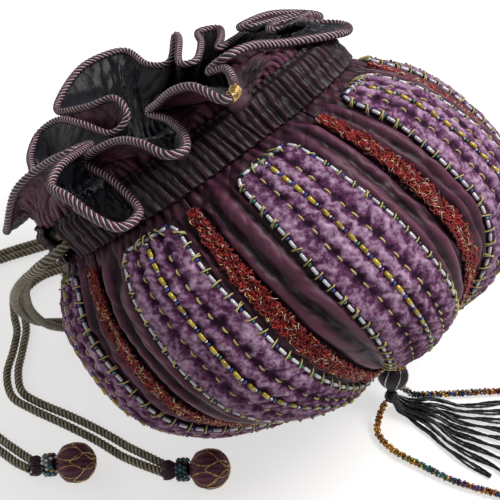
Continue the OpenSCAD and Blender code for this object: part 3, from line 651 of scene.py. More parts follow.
def flatShape(grid, across, along, wrap):
    if wrap or across == along:
        return None
    steps = np.linalg.norm(np.diff(grid, axis=1), axis=2)
    wide = np.concatenate([np.zeros((len(grid), 1)), np.cumsum(steps, 1)], 1) * (1 + across)
    tall = np.concatenate([[0], np.cumsum(np.linalg.norm(np.diff(grid, axis=0), axis=2).mean(1))]) * (1 + along)
    return np.stack([wide - wide[:, -1:] / 2, np.broadcast_to(tall[:, None], wide.shape), 0 * wide], -1)


def settled(grids, heldMasks, kind, wrap=False):  # each grid's spare cloth buckles between the points that are held
    across, along, push, bend = clothSizes[kind]
    holders = []
    for grid, held in zip(grids, heldMasks):
        mesh = bpy.data.meshes.new("loose")
        mesh.from_pydata((grid.reshape(-1, 3) * 0.001).tolist(), [], gridFaces(*grid.shape[:2], wrap).tolist())
        holder = bpy.data.objects.new("loose", mesh)
        bpy.context.scene.collection.objects.link(holder)
        holder.vertex_groups.new(name="held").add(np.nonzero(held.reshape(-1))[0].tolist(), 1.0, "REPLACE")
        modifier = holder.modifiers.new("cloth", "CLOTH")
        sewn = modifier.settings
        sewn.quality, sewn.mass, sewn.air_damping = clothSizes["quality"], 0.15, clothSizes["drag"]
        sewn.vertex_group_mass = "held"
        flat = flatShape(grid, across, along, wrap)
        if flat is None:
            sewn.shrink_min = sewn.shrink_max = -along
        else:  # it was cut flat, and wider than the place it is sewn to
            holder.shape_key_add(name="sewn")
            cut = holder.shape_key_add(name="cut")
            cut.data.foreach_set("co", flat.reshape(-1) * 0.001)
            sewn.rest_shape_key = cut
        sewn.tension_stiffness = sewn.compression_stiffness = clothSizes["stretch"]
        sewn.shear_stiffness, sewn.bending_stiffness = clothSizes["shear"], bend
        sewn.tension_damping = sewn.compression_damping = 8
        sewn.use_pressure, sewn.uniform_pressure_force = push > 0, push
        sewn.effector_weights.gravity = 0
        modifier.collision_settings.use_collision = modifier.collision_settings.use_self_collision = False
        modifier.point_cache.frame_start, modifier.point_cache.frame_end = 1, clothSizes["frames"]
        holders.append(holder)
    for frameNow in range(1, clothSizes["frames"] + 1):
        bpy.context.scene.frame_set(frameNow)
    graph = bpy.context.evaluated_depsgraph_get()
    out = []
    for holder, grid in zip(holders, grids):
        points = np.zeros(grid.size)
        holder.evaluated_get(graph).to_mesh().vertices.foreach_get("co", points)
        out.append(points.reshape(grid.shape) * 1000)
    for holder in holders:
        bpy.data.objects.remove(holder)
    bpy.context.scene.frame_set(1)
    return out


def normalsOf(grid, wrap=False):
    padded = np.pad(grid, ((1, 1), (1, 1), (0, 0)), "edge")
    if wrap:
        padded[1:-1, 0], padded[1:-1, -1] = grid[:, -1], grid[:, 0]
    return unit(np.cross(padded[1:-1, 2:] - padded[1:-1, :-2], padded[2:, 1:-1] - padded[:-2, 1:-1]))


# Gores of gathered silk
goreSizes = {
    "columns": 64, "rows": 150,
    "foldHeight": 3.4,   # millimetres a fold stands up beside the velvet
    "foldsPerSide": 1.7,  # folds in each band between a trim and a velvet strip
    "neckPleat": 3.1, "basePleat": 11.0,  # degrees per pleat at the neck and at the base cap
    "thick": 0.35,
    # millimetres of crumple added, and share of the drawn fold, that the cloth starts from
    "crumple": 0.55, "seed": 0.75,
    "limits": (-1.35, 4.7), "lowest": 0.35,  # how far it may settle from the sewn shape, and its lowest point
    "tone": 0.4, "underTrim": 0.62,  # how much painted light a fold's crest takes and painted shade its hollow, and how much of the trim covers the gore
}


def ripple(x, t, seed):  # slow uneven waves, the same each run
    r = np.random.default_rng(seed)
    out = np.zeros(np.broadcast(x, t).shape)
    for k in range(7):
        out = out + np.sin(x * r.uniform(0.5, 2.6) + t * r.uniform(2, 11) + r.uniform(0, 6.28)) / 7 * 1.6
    return out


def foldAt(k, angle, t):  # height and depth share of the folds on gore k
    strip, at = velvetOn(k)
    a0, a1, th, vh = trimAt[k], trimAt[k + 1], goreSizes["underTrim"] * trimHalf(t), velvetHalf(strip, t)
    height, share = np.zeros(np.broadcast(angle, t).shape), np.full(np.broadcast(angle, t).shape, 0.5)
    for s, (low, high) in enumerate(((a0 + th, at - vh), (at + vh, a1 - th))):
        x = (angle - low) / np.maximum(high - low, 0.5)
        inside = (x > 0) & (x < 1)
        rr = np.random.default_rng(100 + 7 * k + s)
        folds = goreSizes["foldsPerSide"] + rr.uniform(-0.35, 0.5)
        warp = x + 0.16 * ripple(x * 2, t, 31 + 3 * k + s) * np.sin(np.pi * np.clip(x, 0, 1))
        wave = np.abs(np.sin(np.pi * (folds * warp + rr.uniform(0, 0.5)
                                      + 0.5 * np.sin(t * rr.uniform(2, 4) + rr.uniform(0, 6)))))
        wave = wave ** 0.75
        edge = smooth(0, 0.16, x) * smooth(0, 0.16, 1 - x)
        wide = np.radians(high - low) * outline(t)[0]
        tall = goreSizes["foldHeight"] * smooth(1.0, 9, wide) * (0.75 + 0.35 * ripple(x, t, 5 + k * 2 + s))
        one = edge * (wave * tall) - (1 - edge) * 0.5 - edge * (1 - wave) * 1.3
        height = np.where(inside, one, height)
        share = np.where(inside, np.clip(wave * edge * 1.15, 0, 1), share)
    # pleats above and below the velvet
    for low, high, pitch, tall, seed in ((0.90, 0.965, goreSizes["neckPleat"], 1.3, 3),
                                         (0.125, 0.095, goreSizes["basePleat"], 0.9, 4)):
        m = smooth(low, high, t) if high > low else 1 - smooth(high, low, t)
        m = m * (1 - smooth(0.985, 1.0, t) * 0.6)
        wave = np.abs(np.sin(np.pi * (angle / pitch + 0.25 * ripple(angle * 0.1, t * 3, seed)))) ** 0.8
        height = height * (1 - m) + m * (wave * tall - 0.3)
        share = share * (1 - m) + m * wave
    return height, share


silkGrids, silkHeld, silkSkins = [], [], []
goreT = np.linspace(bag["poleStart"], 1, goreSizes["rows"])[:, None]
for k in range(9):
    t, a = goreT, np.linspace(trimAt[k] + 0.25, trimAt[k + 1] - 0.25, goreSizes["columns"])[None]
    height, share = foldAt(k, a, t)
    strip, at = velvetOn(k)
    th, vh = goreSizes["underTrim"] * trimHalf(t), velvetHalf(strip, t)
    # the cloth is held at its seams, under the trims and under the velvet
    loose = ((a > trimAt[k] + th) & (a < at - vh)) | ((a > at + vh) & (a < trimAt[k + 1] - th))
    loose &= (t > 0.06) & (t < 0.985)
    loose |= (t > 0.938) & (t < 0.985) & (a > trimAt[k] + th) & (a < trimAt[k + 1] - th)
    crumple = ripple(a * 0.45, t * 5, 60 + k) + 0.5 * ripple(a * 1.2, t * 15, 80 + k)
    height = goreSizes["seed"] * height + goreSizes["crumple"] * loose * crumple
    silkGrids.append(cloth(a, t, height, bag["ringTop"]))
    silkHeld.append(~loose)
    silkSkins.append((a, cloth(a, t, 0, bag["ringTop"]), outOf(a, t)))
silkGrids = settled(silkGrids, silkHeld, "silk")
for k, (grid, (a, skin, outward)) in enumerate(zip(silkGrids, silkSkins)):
    high = ((grid - skin) * outward).sum(2)
    kept = np.clip(high, *goreSizes["limits"])
    outer = grid + outward * (kept - high)[..., None]
    outer[..., 2] = np.maximum(outer[..., 2], goreSizes["lowest"])
    wide = np.pad(kept, ((0, 0), (6, 6)), "edge")
    around = sum(wide[:, m:m + kept.shape[1]] for m in range(13)) / 13
    # painted light where the settled cloth stands above its neighbours, painted shade where it sinks below them
    share = np.clip(0.42 + goreSizes["tone"] * (kept - around) + 0.05 * kept, 0, 1)
    out = normalsOf(outer)
    out = out * np.sign((out * outward).sum(2))[..., None]
    inner = outer - goreSizes["thick"] * out
    uv = flatPlace(np.radians(a) * np.maximum(outline(goreT)[0], 20), np.interp(goreT, tLine, runLine))
    piece = makeObject(f"silkGore{k + 1}", wall(outer, inner, uv=uv), silk, "bag", (f"silk_gore_{k + 1}",),
                       bothFaces(share))
print("silk gores gathered")


# Velvet strips
velvetSizes = {
    "columns": 36, "rows": 170,
    "stitchRows": (-0.45, 0.02, 0.43),  # places across the strip, from -1 to 1
    "quilt": 1.15,  # millimetres the velvet puffs between rows of stitching
    "dimple": 5.4,  # millimetres from one stitch to the next
    "roundEnd": 0.42, "roundFrom": 0.885,  # how much the end at the neck is rounded off, and from where
    # how far it may settle from the sewn shape, and where the table presses it
    "limits": (-0.35, 1.1), "lowest": 1.8,
}
stripRows = (0.1132, 0.9318)  # where velvet and trims start and end, up the outline


def velvetHeight(k, u, t):
    rows = np.array((-1.0,) + velvetSizes["stitchRows"] + (1.0,))
    i = np.clip(np.searchsorted(rows, u, side="right") - 1, 0, len(rows) - 2)
    x = (u - rows[i]) / (rows[i + 1] - rows[i])
    pillow = np.sin(np.pi * np.clip(x, 0, 1)) ** 0.6
    run = np.interp(t, tLine, runLine)
    for j, row in enumerate(velvetSizes["stitchRows"]):  # the pile comes up between one stitch and the next
        held = np.cos(2 * np.pi * (run / velvetSizes["dimple"] + 0.37 * j))
        pillow = pillow + 0.24 * held * np.exp(-((u - row) / 0.15) ** 2)
    pillow = np.clip(pillow, 0, 1.15)
    ends = smooth(0, 0.025, t - stripRows[0]) * smooth(0, 0.02, stripRows[1] - t)
    uneven = 1 + 0.25 * ripple(u * 3, t * 7, 200 + k) + 0.12 * ripple(u * 9, t * 30, 230 + k)
    tall = (0.2 + velvetSizes["quilt"] * pillow * uneven) * (0.25 + 0.75 * ends)
    return bag["ease"] + 0.45 + tall, pillow * (0.3 + 0.7 * ends)


def stripHalf(k, t):  # the strip's half width in degrees, rounded off at both ends
    x = np.clip((t - velvetSizes["roundFrom"]) / (stripRows[1] - velvetSizes["roundFrom"]), 0, 1)
    return velvetHalf(k, t) * (1 - velvetSizes["roundEnd"] * (1 - np.sqrt(1 - x ** 2))
                               - 0.05 * (1 - smooth(stripRows[0], 0.135, t)))


def onVelvet(k, u, t, above):  # a point on the velvet's face, and the way out of it
    u, t = np.broadcast_arrays(np.asarray(u, float), np.asarray(t, float))
    a = bag["velvetAt"][k] + u * stripHalf(k, t)
    h = velvetHeight(k, np.clip(u, -1, 1), t)[0]
    return cloth(a, t, h + above, velvetSizes["lowest"]), outOf(a, t)


t = np.linspace(*stripRows, velvetSizes["rows"])[:, None]
u = (np.sin(np.linspace(-np.pi / 2, np.pi / 2, velvetSizes["columns"]))[None] * 0.35
     + np.linspace(-1, 1, velvetSizes["columns"])[None] * 0.65)  # columns stand closer together at the edges
run = np.interp(t, tLine, runLine)
held = (np.abs(u) > 0.93) | (t < stripRows[0] + 0.006) | (t > stripRows[1] - 0.006)
for j, row in enumerate(velvetSizes["stitchRows"]):
    held |= (np.abs(u - row) < 0.06) & (np.cos(2 * np.pi * (run / velvetSizes["dimple"] + 0.37 * j)) < 0.2)
velvetGrids, velvetSkins, velvetRidges = [], [], []
for k in range(9):
    height, ridge = velvetHeight(k, u, t)
    rounded = 1 - smooth(0.93, 1.0, np.abs(u))
    height = bag["ease"] + (height - bag["ease"]) * (0.35 + 0.65 * rounded)
    a = bag["velvetAt"][k] + u * stripHalf(k, t)
    velvetGrids.append(cloth(a, t, height, velvetSizes["lowest"]))
    velvetSkins.append((a, outOf(a, t), velvetGrids[-1]))
    velvetRidges.append(ridge)
velvetGrids = settled(velvetGrids, [held] * 9, "velvet")
for k, (grid, (a, outward, start)) in enumerate(zip(velvetGrids, velvetSkins)):
    high = ((grid - start) * outward).sum(2)
    outer = grid + outward * (np.clip(high, *velvetSizes["limits"]) - high)[..., None]
    outer[..., 2] = np.maximum(outer[..., 2], 0.15)
    inner = cloth(a, t, np.full(high.shape, bag["ease"]), velvetSizes["lowest"])
    uv = flatPlace(u * 14, run)
    # painted light on the puffs and painted shade in the grooves, from the quilting and how far the velvet settled
    ridge = np.clip(velvetRidges[k] * 0.8 + 0.3 * np.clip(high, -0.5, 1), 0, 1.2)
    piece = makeObject(f"velvetStrip{k + 1}", wall(outer, inner, uv=uv), velvet, "bag", (f"velvet_strip_{k + 1}",),
                       bothFaces(ridge))
print("velvet strips quilted")


# Beads and stitches on the velvet
workSizes = {
    "unit": 5.0,  # millimetres along a row from one bugle to the next
    "bugle": (2.8, 1.5), "seed": 1.5, "smallSeed": 1.15,
    "edgeBugle": (2.9, 1.25), "edgeSeed": 1.5,
    "stitch": (2.9, 5.4), "stitchRadius": 0.4,  # a running stitch's length and pitch
    "tie": 3.1, "tieRadius": 0.27,  # the couching stitch over the edge beads
}
workGlass = [yellowGlass, whiteGlass, blueGlass, greenGlass, tealGlass, violetGlass, yellowFloss]


def tAtRun(run):
    return np.interp(run, runLine, tLine)


def beadwork(k):
    r = np.random.default_rng(500 + k)
    low, high = (float(np.interp(x, tLine, runLine)) for x in stripRows)
    parts = []

    def put(u, run, profile, material, above):
        p, q = (onVelvet(k, u, tAtRun(at), above)[0] for at in (run, run + 0.6))
        if len(p):
            parts.append(beads(p, q - p, profile, 8, material))

    # the centre row: a yellow bugle, a coloured seed and a small white seed
    at = np.arange(low + 4, high - 3, workSizes["unit"])
    at = at + r.uniform(-0.2, 0.2, len(at))
    sway = 0.018 * np.sin(at * 0.11 + k)
    put(sway, at, bugleBead(*workSizes["bugle"]), 0, 0.7)
    colour = r.choice([2, 2, 2, 3, 5], len(at))
    for m in (2, 3, 5):
        put(sway[colour == m], at[colour == m] + 2.2, seedBead(workSizes["seed"]), m, 0.75)
    put(sway, at + 3.3, seedBead(workSizes["smallSeed"]), 1, 0.7)
    # running stitches
    long, pitch = workSizes["stitch"]
    for u in (velvetSizes["stitchRows"][0], velvetSizes["stitchRows"][2]):
        at = np.arange(low + 5 + 2 * (u > 0), high - 6, pitch)
        at = at + r.uniform(-0.5, 0.5, len(at))
        shift = r.uniform(-0.02, 0.02, len(at))
        s = np.linspace(-0.5, 0.5, 6)
        run = at[:, None] + s[None] * long * r.uniform(0.85, 1.1, (len(at), 1))
        p, out = onVelvet(k, u + shift[:, None] + 0 * run, tAtRun(run), 0.25 - 1.6 * (2 * s[None]) ** 4)
        parts.append(tubes(p, out, workSizes["stitchRadius"] * (1 - 0.35 * (2 * s) ** 4)[None], 6, material=6))
    # both edges, couched with white bugles and coloured seeds under yellow stitches
    for u in (-0.985, 0.985):
        at = np.arange(low + 2.5, high - 2, workSizes["unit"])
        at = at + r.uniform(-0.25, 0.25, len(at))
        put(np.full(len(at), u), at, bugleBead(*workSizes["edgeBugle"]), 1, 0.35)
        colour = r.choice([2, 3, 2, 4], len(at))
        for m in (2, 3, 4):
            put(np.full((colour == m).sum(), u), at[colour == m] + 2.3, seedBead(workSizes["edgeSeed"]), m, 0.4)
        s = np.linspace(-1, 1, 7)
        lean = r.uniform(-0.5, 0.5, len(at))[:, None]
        for turn in (0.15, 0.9):  # a couching stitch over each joint, some of them crossed
            tie = at[:, None] - 0.38 * workSizes["unit"] + (lean + turn * np.sign(lean + 0.2)) * s[None]
            across = u + s[None] * workSizes["tie"] / bag["velvetWidth"] + 0 * tie
            p, out = onVelvet(k, across, tAtRun(tie), 1.15 - 1.5 * s[None] ** 4)
            some = np.ones(len(at), bool) if turn < 0.5 else r.uniform(size=len(at)) < 0.35
            parts.append(tubes(p[some], out[some], workSizes["tieRadius"], 5, material=6))
    # the end towards the neck
    u = np.linspace(-0.76, 0.76, 5)
    v = u[:-1] + 0.19
    endRun = high - 1.0
    for middle, above, profile, material in ((u, 0.25, bugleBead(2.5, 1.25), 1),
                                             (v, 0.5, seedBead(1.45), 2 if k % 2 else 3)):
        p, q = (onVelvet(k, middle * 0.93 + shift, tAtRun(np.full(len(middle), endRun)), above)[0]
                for shift in (0, 0.05))
        parts.append(beads(p, q - p, profile, 8, material))
    s = np.linspace(-1, 1, 7)
    p, out = onVelvet(k, (v[:, None] + 0.1) * 0.93 + 0 * s, tAtRun(endRun + s[None] * 1.9 + 0 * v[:, None]),
                      1.2 - 1.3 * s[None] ** 4)
    parts.append(tubes(p, out, workSizes["tieRadius"], 5, material=6))
    makeObject(f"beadwork{k + 1}", parts, workGlass, "bag")


for k in range(9):
    beadwork(k)
print("beads and stitches sewn on")


# Red boucle trims
boucleSizes = {
    "share": 0.7,  # width of the trim, of the room kept for it
    "yarns": 12, "yarnRadius": 0.32, "loop": 1.1,  # a yarn's radius and how far it loops aside, millimetres
    "pitch": 2.0, "halfWidth": 4.2,  # millimetres per loop, and from the trim's middle to its edge
    "flecks": 520, "fleckLength": 2.4, "fleckRadius": 0.14,  # loose bright ends
    "lowest": 2.2,  # where the table presses it
}
boucleYarns = [redYarn, rustYarn, goldThread, whiteThread, brightYarn]


def onTrim(k, u, run, above):  # a point on trim k, and the way out of it
    t = tAtRun(run)
    wide = boucleSizes["share"] * trimHalf(t) * (0.3 + 0.7 * smooth(0.1, 0.42, t)) * (1 - 0.2 * smooth(0.8, 0.94, t))
    a = trimAt[k] + u * wide
    return cloth(a, t, above, boucleSizes["lowest"]), outOf(a, t)


for k in range(9):
    r = np.random.default_rng(700 + k)
    low, high = (float(np.interp(x, tLine, runLine)) for x in stripRows)
    run = np.arange(low, high, 0.3)
    parts = []
    for j in range(boucleSizes["yarns"]):
        place = -0.8 + 1.6 * j / (boucleSizes["yarns"] - 1)
        phase = 2 * np.pi * run / (boucleSizes["pitch"] * r.uniform(0.85, 1.2)) + r.uniform(0, 6)
        aside = np.sin(phase) * (0.6 + 0.4 * np.sin(run * 0.7 + j)) + 0.45 * np.sin(run * 1.37 + 2.3 * j)
        u = place + boucleSizes["loop"] / boucleSizes["halfWidth"] * aside
        above = 1.35 + 0.75 * np.cos(phase + 0.8) * np.sin(run * 0.43 + j * 1.9) + 0.5 * (1 - place ** 2)
        above = above + 0.3 * np.sin(run * 2.1 + j)
        p, out = onTrim(k, u, run + 0.5 * np.cos(phase), above)
        parts.append(tubes(p, out, boucleSizes["yarnRadius"] * (1 + 0.22 * np.sin(phase * 2.1 + j))[None], 6,
                           material=0 if j % 3 else 1))
    count = boucleSizes["flecks"]
    s = np.linspace(-0.5, 0.5, 7)
    middle = r.uniform(low + 1, high - 1, count)
    turn = r.uniform(0, np.pi, count)
    size = boucleSizes["fleckLength"] * r.uniform(0.5, 1.25, count)
    u0 = r.uniform(-0.85, 0.85, count)
    bow = r.uniform(-1.3, 1.3, count)
    runAt = middle[:, None] + (np.cos(turn) * size)[:, None] * s - (np.sin(turn) * bow)[:, None] * (1 - 4 * s ** 2)
    uAt = u0[:, None] + ((np.sin(turn) * size)[:, None] * s
                         + (np.cos(turn) * bow)[:, None] * (1 - 4 * s ** 2)) / boucleSizes["halfWidth"]
    above = 2.75 + r.uniform(-0.2, 0.45, count)[:, None] - 1.1 * (2 * s) ** 2
    p, out = onTrim(k, uAt, runAt, above)
    kind = r.choice(3, count, p=(0.2, 0.16, 0.64))
    for j in range(3):
        parts.append(tubes(p[kind == j], out[kind == j], boucleSizes["fleckRadius"], 5, material=2 + j))
    makeObject(f"boucleTrim{k + 1}", parts, boucleYarns, "bag", (f"boucle_trim_{k + 1}",))
print("boucle trims couched down")


# Casing
casingSizes = {
    "pleat": 2.5, "pleatHeight": 2.3,  # degrees for each, and its height in millimetres
    "tall": 14.2, "thick": 0.3, "columns": 480, "rows": 22,
    "halves": (("casingUpper", 8, 180), ("casingLower", 192, 356)),  # degrees where each starts and ends
}


def casingCloth(angle, v, out):  # v runs from 0 on the gores to 1 at the frill
    t0 = cloth(angle, 0.972, 0.35 + out, bag["ringTop"])
    past = -1.0 + v * casingSizes["tall"]
    band = 2.3 + 0.2 * np.exp(-((past - 3.3) / 1.5) ** 2) + 0.2 * np.exp(-((past - 7.2) / 1.5) ** 2)
    band = band * (1 - smooth(10.4, 12.7, past)) + 0.75 * smooth(10.4, 12.7, past)
    p = neckPoint(angle, bag["neckRadius"] + band + out, past)
    m = smooth(0.0, 0.16, v)[..., None]
    return t0 * (1 - m) + p * m


def gathers(angle, v, pitch, seed):  # narrow uneven pleats
    arc = angle + 1.6 * ripple(angle * 0.12, v * 0.3, seed) + 0.35 * ripple(angle * 0.5, v * 0.9, seed + 1)
    one = np.abs(np.sin(np.pi * arc / pitch))
    two = np.abs(np.sin(np.pi * (arc / (pitch * 1.73) + 0.3 + 0.2 * v)))
    return np.clip(0.62 * one + 0.38 * two - 0.12, 0, 1)


for name, a0, a1 in casingSizes["halves"]:
    v = np.linspace(0, 1, casingSizes["rows"])[:, None]
    a = np.linspace(a0, a1, casingSizes["columns"])[None]
    share = gathers(a, v, casingSizes["pleat"], 21)
    up = v * casingSizes["tall"]
    # two rows of stitching
    hold = 1 - 0.18 * np.exp(-((up - 6.2) / 0.9) ** 2) - 0.45 * np.exp(-((up - 12.6) / 0.9) ** 2)
    out = 0.55 + casingSizes["pleatHeight"] * share * hold
    uv = flatPlace(np.radians(a) * 58, v * 14)
    # the gathers and the stitched rows are painted as shade in the valleys and light on the crests
    makeObject(name, wall(casingCloth(a, v, out), casingCloth(a, v, out - casingSizes["thick"]), uv=uv),
               casingSilkInShade, "bag", ("casing_" + name[6:].lower(),), bothFaces(share * hold))
a = np.linspace(0, 360, 361)[:-1][None]
v = np.linspace(0, 1, 14)[:, None]
share = gathers(a, v, 4.0, 9)
inside = lambda out: np.where(v[..., None] < 0.3,
                              cloth(a, 0.932 + 0.068 * v / 0.3, out - 2.35, bag["ringTop"], 0),
                              neckPoint(a, 54.6 + out + 1.5 * smooth(0.85, 1, v), 0.9 + (v - 0.3) / 0.7 * 11.6))
# painted shade in the lining's gathers and painted light on their crests
makeObject("casingLining", wall(inside(-0.5 * share), inside(-0.5 * share - 0.4), True,
                                uv=flatPlace(np.radians(a) * 55, v * 20)),
           satin, "bag", ("casing_lining",), bothFaces(share))
t = np.linspace(0.004, 0.925, 62)[:, None]  # drawn in at the base, behind the cap
share = np.abs(np.sin(np.pi * (a / 12 + 0.3 * ripple(a * 0.05, t * 3, 77)))) * np.ones_like(t)
line = cloth(a, t, -1.5 - 0.9 * share * smooth(0.045, 0.3, t), bag["ringTop"], 0)
under = cloth(a, t, -2.0 - 0.9 * share * smooth(0.045, 0.3, t), bag["ringTop"], 0)
# painted shade in the lining's gathers and painted light on their crests
makeObject("bagLining", wall(line, under, True, uv=flatPlace(np.radians(a) * 60, np.interp(t, tLine, runLine))),
           satin, "bag", ("bag_lining",), bothFaces(1 - share))
print("casing and linings sewn")


# Frill
frillSizes = {
    "step": 1.15, "rows": 26,  # millimetres between columns, and rows from the casing to the edge
    # degrees it faces and starts at, and how far it first runs straight out
    "facing": 63, "start": -20, "firstRise": 9,
    "mostMoved": 2.4, "gather": 2.2,  # millimetres the cloth may settle, and the gathers' height at the casing
    "edge": (  # points along the edge: two across the mouth, and one out from it
        (10, 68, 19), (25, 55, 28), (35, 42, 30), (45, 31, 29), (36, 25, 27),
        (60, 34, 28), (72, 40, 25), (82, 38, 20), (89, 36, 11), (90, 33, 5), (85, 28, 4), (76, 26, 6),
        (60, 27, 15), (46, 30, 23), (50, 26, 25), (62, 17, 24), (74, 12, 20), (83, 9, 14), (82, 4, 12),
        (72, 1, 15), (58, 1, 20), (45, 4, 25), (52, 0, 26), (64, -6, 27), (74, -11, 25), (82, -14, 18),
        (80, -18, 17), (68, -21, 19), (56, -23, 23), (46, -19, 25), (52, -26, 26), (46, -35, 24),
        (36, -45, 18), (24, -61, 10), (9, -68, 8), (-3, -68, 11), (-11, -60, 17), (-14, -51, 21),
        (-22, -52, 23), (-31, -63, 19), (-39, -67, 19), (-37, -57, 23), (-31, -47, 27), (-38, -45, 29),
        (-47, -58, 26), (-55, -71, 17), (-63, -74, 13), (-66, -64, 19), (-57, -50, 25), (-43, -40, 26),
        (-37, -33, 27), (-48, -38, 30), (-60, -40, 33), (-60, -33, 36), (-48, -30, 32),
        (-35, -23, 28), (-38, -18, 31), (-56, -25, 38), (-63, -25, 40), (-56, -16, 33), (-62, -9, 37),
        (-75, -7, 46), (-75, 1, 50), (-71, 12, 51), (-64, 24, 47), (-54, 30, 42), (-38, 20, 37),
        (-30, 10, 34), (-23, 11, 26), (-24, 20, 24), (-34, 26, 33), (-48, 32, 39), (-56, 42, 39),
        (-46, 50, 34), (-32, 53, 28), (-22, 60, 22), (-6, 70, 18)),
}
offDir = lambda degrees: math.cos(math.radians(degrees)) * side + math.sin(math.radians(degrees)) * rise
mouthMid = centre + offAxis(np.array(0.0), np.array(0.0), np.array(bag["bodyLength"]))
edge = np.array(frillSizes["edge"], float)
edge = (mouthMid + edge[:, :1] * offDir(frillSizes["facing"]) + edge[:, 1:2] * offDir(frillSizes["facing"] - 90)
        + edge[:, 2:] * (mouth + bag["lean"] * side))
edgeLine = spaced(curveThrough(edge, 12, True), frillSizes["step"], True)
edgeRun = runOf(edgeLine, True)
angle = frillSizes["start"] + 360 * edgeRun[:-1] / edgeRun[-1]
foot = neckPoint(angle, bag["neckRadius"], 13.3)
first = foot + frillSizes["firstRise"] * mouth
way = unit(np.roll(edgeLine, -1, 0) - np.roll(edgeLine, 1, 0))
flatten = lambda q: q - (q * way).sum(1, keepdims=True) * way
reach = np.linalg.norm(edgeLine - first, axis=1, keepdims=True)
last = edgeLine - 0.4 * reach * unit(flatten(unit(edgeLine - first))
                                     + 0.6 * flatten(np.broadcast_to(mouth, way.shape)))
stop = 1 - 0.5 / (3 * np.linalg.norm(edgeLine - last, axis=1))
v = np.linspace(0, 1, frillSizes["rows"])[:, None] * stop[None]
u = 1 - v
shares = ((u ** 3, foot), (3 * u * u * v, first), (3 * u * v * v, last), (v ** 3, edgeLine))
grid = sum(c[..., None] * q[None] for c, q in shares)
acrossWay = np.roll(grid, -1, 1) - np.roll(grid, 1, 1)
upWay = np.concatenate([grid[1:2] - grid[:1], grid[2:] - grid[:-2], grid[-1:] - grid[-2:-1]])
normal = unit(np.cross(acrossWay, upWay))
for _ in range(3):
    normal = unit(normal + 0.5 * (np.roll(normal, 1, 1) + np.roll(normal, -1, 1)))
# one more row, tucked under the casing
grid = np.concatenate([grid[:1] - 1.6 * mouth, grid])
normal = np.concatenate([normal[:1], normal])
v = np.concatenate([v[:1], v])
run = np.broadcast_to(edgeRun[:-1][None], v.shape)
near = np.clip(1 - v, 0, 1)
tuck = gathers(run / 2.9, v * 2, 3.1, 41)
rows = np.arange(len(v))[:, None]
rip = frillSizes["gather"] * (tuck - 0.4) * near ** 1.6 + 0.5 * ripple(run * 0.6, v * 5, 44) * near * (1 - near) * 3
start = grid + normal * rip[..., None]
tied = np.broadcast_to((rows < 3) | (rows > len(v) - 3), v.shape)  # at the casing and along the edge cord
loose = settled([start], [tied], "frill", True)[0]
moved = loose - start
size = np.linalg.norm(moved, axis=2, keepdims=True)
loose = start + moved * np.minimum(1, frillSizes["mostMoved"] / np.maximum(size, 1e-6))
normal = normalsOf(loose, True) * np.sign((normalsOf(grid, True) * normal).sum(2))[..., None]
proud = ((loose - grid) * normal).sum(2)
# painted light on the gathers' crests and where the cloth settled outward, painted shade in their hollows; the lining
# takes the opposite
share = np.clip(0.45 + 0.4 * near ** 1.2 * (tuck - 0.45) * 2 + 0.3 * proud, 0, 1)
heightUp = np.concatenate([np.zeros((1, v.shape[1])), np.cumsum(np.linalg.norm(np.diff(grid, axis=0), axis=2), 0)])
uv = flatPlace(run, heightUp)
sheetOf = lambda high, low: wall(loose + high * normal, loose + low * normal, True, uv=uv)
frillCloth = makeObject("frillCloth", sheetOf(0.5, 0.1), silk, "bag", ("frill",), bothFaces(share))
frillLining = makeObject("frillLining", sheetOf(-0.1, -0.5), satin, "bag", ("frill_lining",),
                         bothFaces(1 - share))


# Edge cord: burgundy and pale floss twisted together
edgeSizes = {"strands": 8, "strandRadius": (0.58, 0.36, 0.58, 0.36) * 2, "twistRadius": 1.0, "lay": 7.6, "step": 0.55,
             "joinAt": 0.3225, "joinTurns": 9}  # where the cord's ends are bound together
rimLine = spaced(curveThrough(edge, 14, True), edgeSizes["step"], True)
# gold thread wound over the place where the cord's ends meet
wrapAt = rimLine[int(len(rimLine) * edgeSizes["joinAt"]):][:13]
n, b = framesOf(wrapAt)[1:]
turn = np.linspace(0, 2 * np.pi * edgeSizes["joinTurns"], 240)
place = np.linspace(0, len(wrapAt) - 1, 240)
mid, n, b = (np.stack([np.interp(place, np.arange(len(q)), q[:, c]) for c in range(3)], 1) for q in (wrapAt, n, b))
outwards = unit(n * np.cos(turn)[:, None] + b * np.sin(turn)[:, None])
makeObject("rimCord", twisted(rimLine, edgeSizes, True, 5, [0, 1, 2, 1] * 2)
           + [tubes(mid + 1.6 * outwards, outwards, 0.36, 6, material=3)],
           [burgundyFloss, paleFloss, darkFloss, goldThread], "bag", ("rim_cord",))


# Base cap and loop
pole = centre + offAxis(np.array(0.0), np.array(0.0), np.array(0.0))
d = np.linspace(0, 2 * np.pi, 145)[:-1][None]
x = np.linspace(0.02, 1, 16)[:, None]
pleat = np.abs(np.sin(d * 14 + 0.6 * np.sin(d * 3)))
capRadius = 11.0
capRound = lambda out: (pole + (capRadius * x * np.cos(d))[..., None] * side
                        + (capRadius * x * np.sin(d))[..., None] * rise - (0.3 + out)[..., None] * mouth)
top = 1.5 * (1 - smooth(0.7, 1, x)) + 0.5 * pleat * smooth(0.1, 0.5, x) * (1 - smooth(0.8, 1, x)) + 0.1
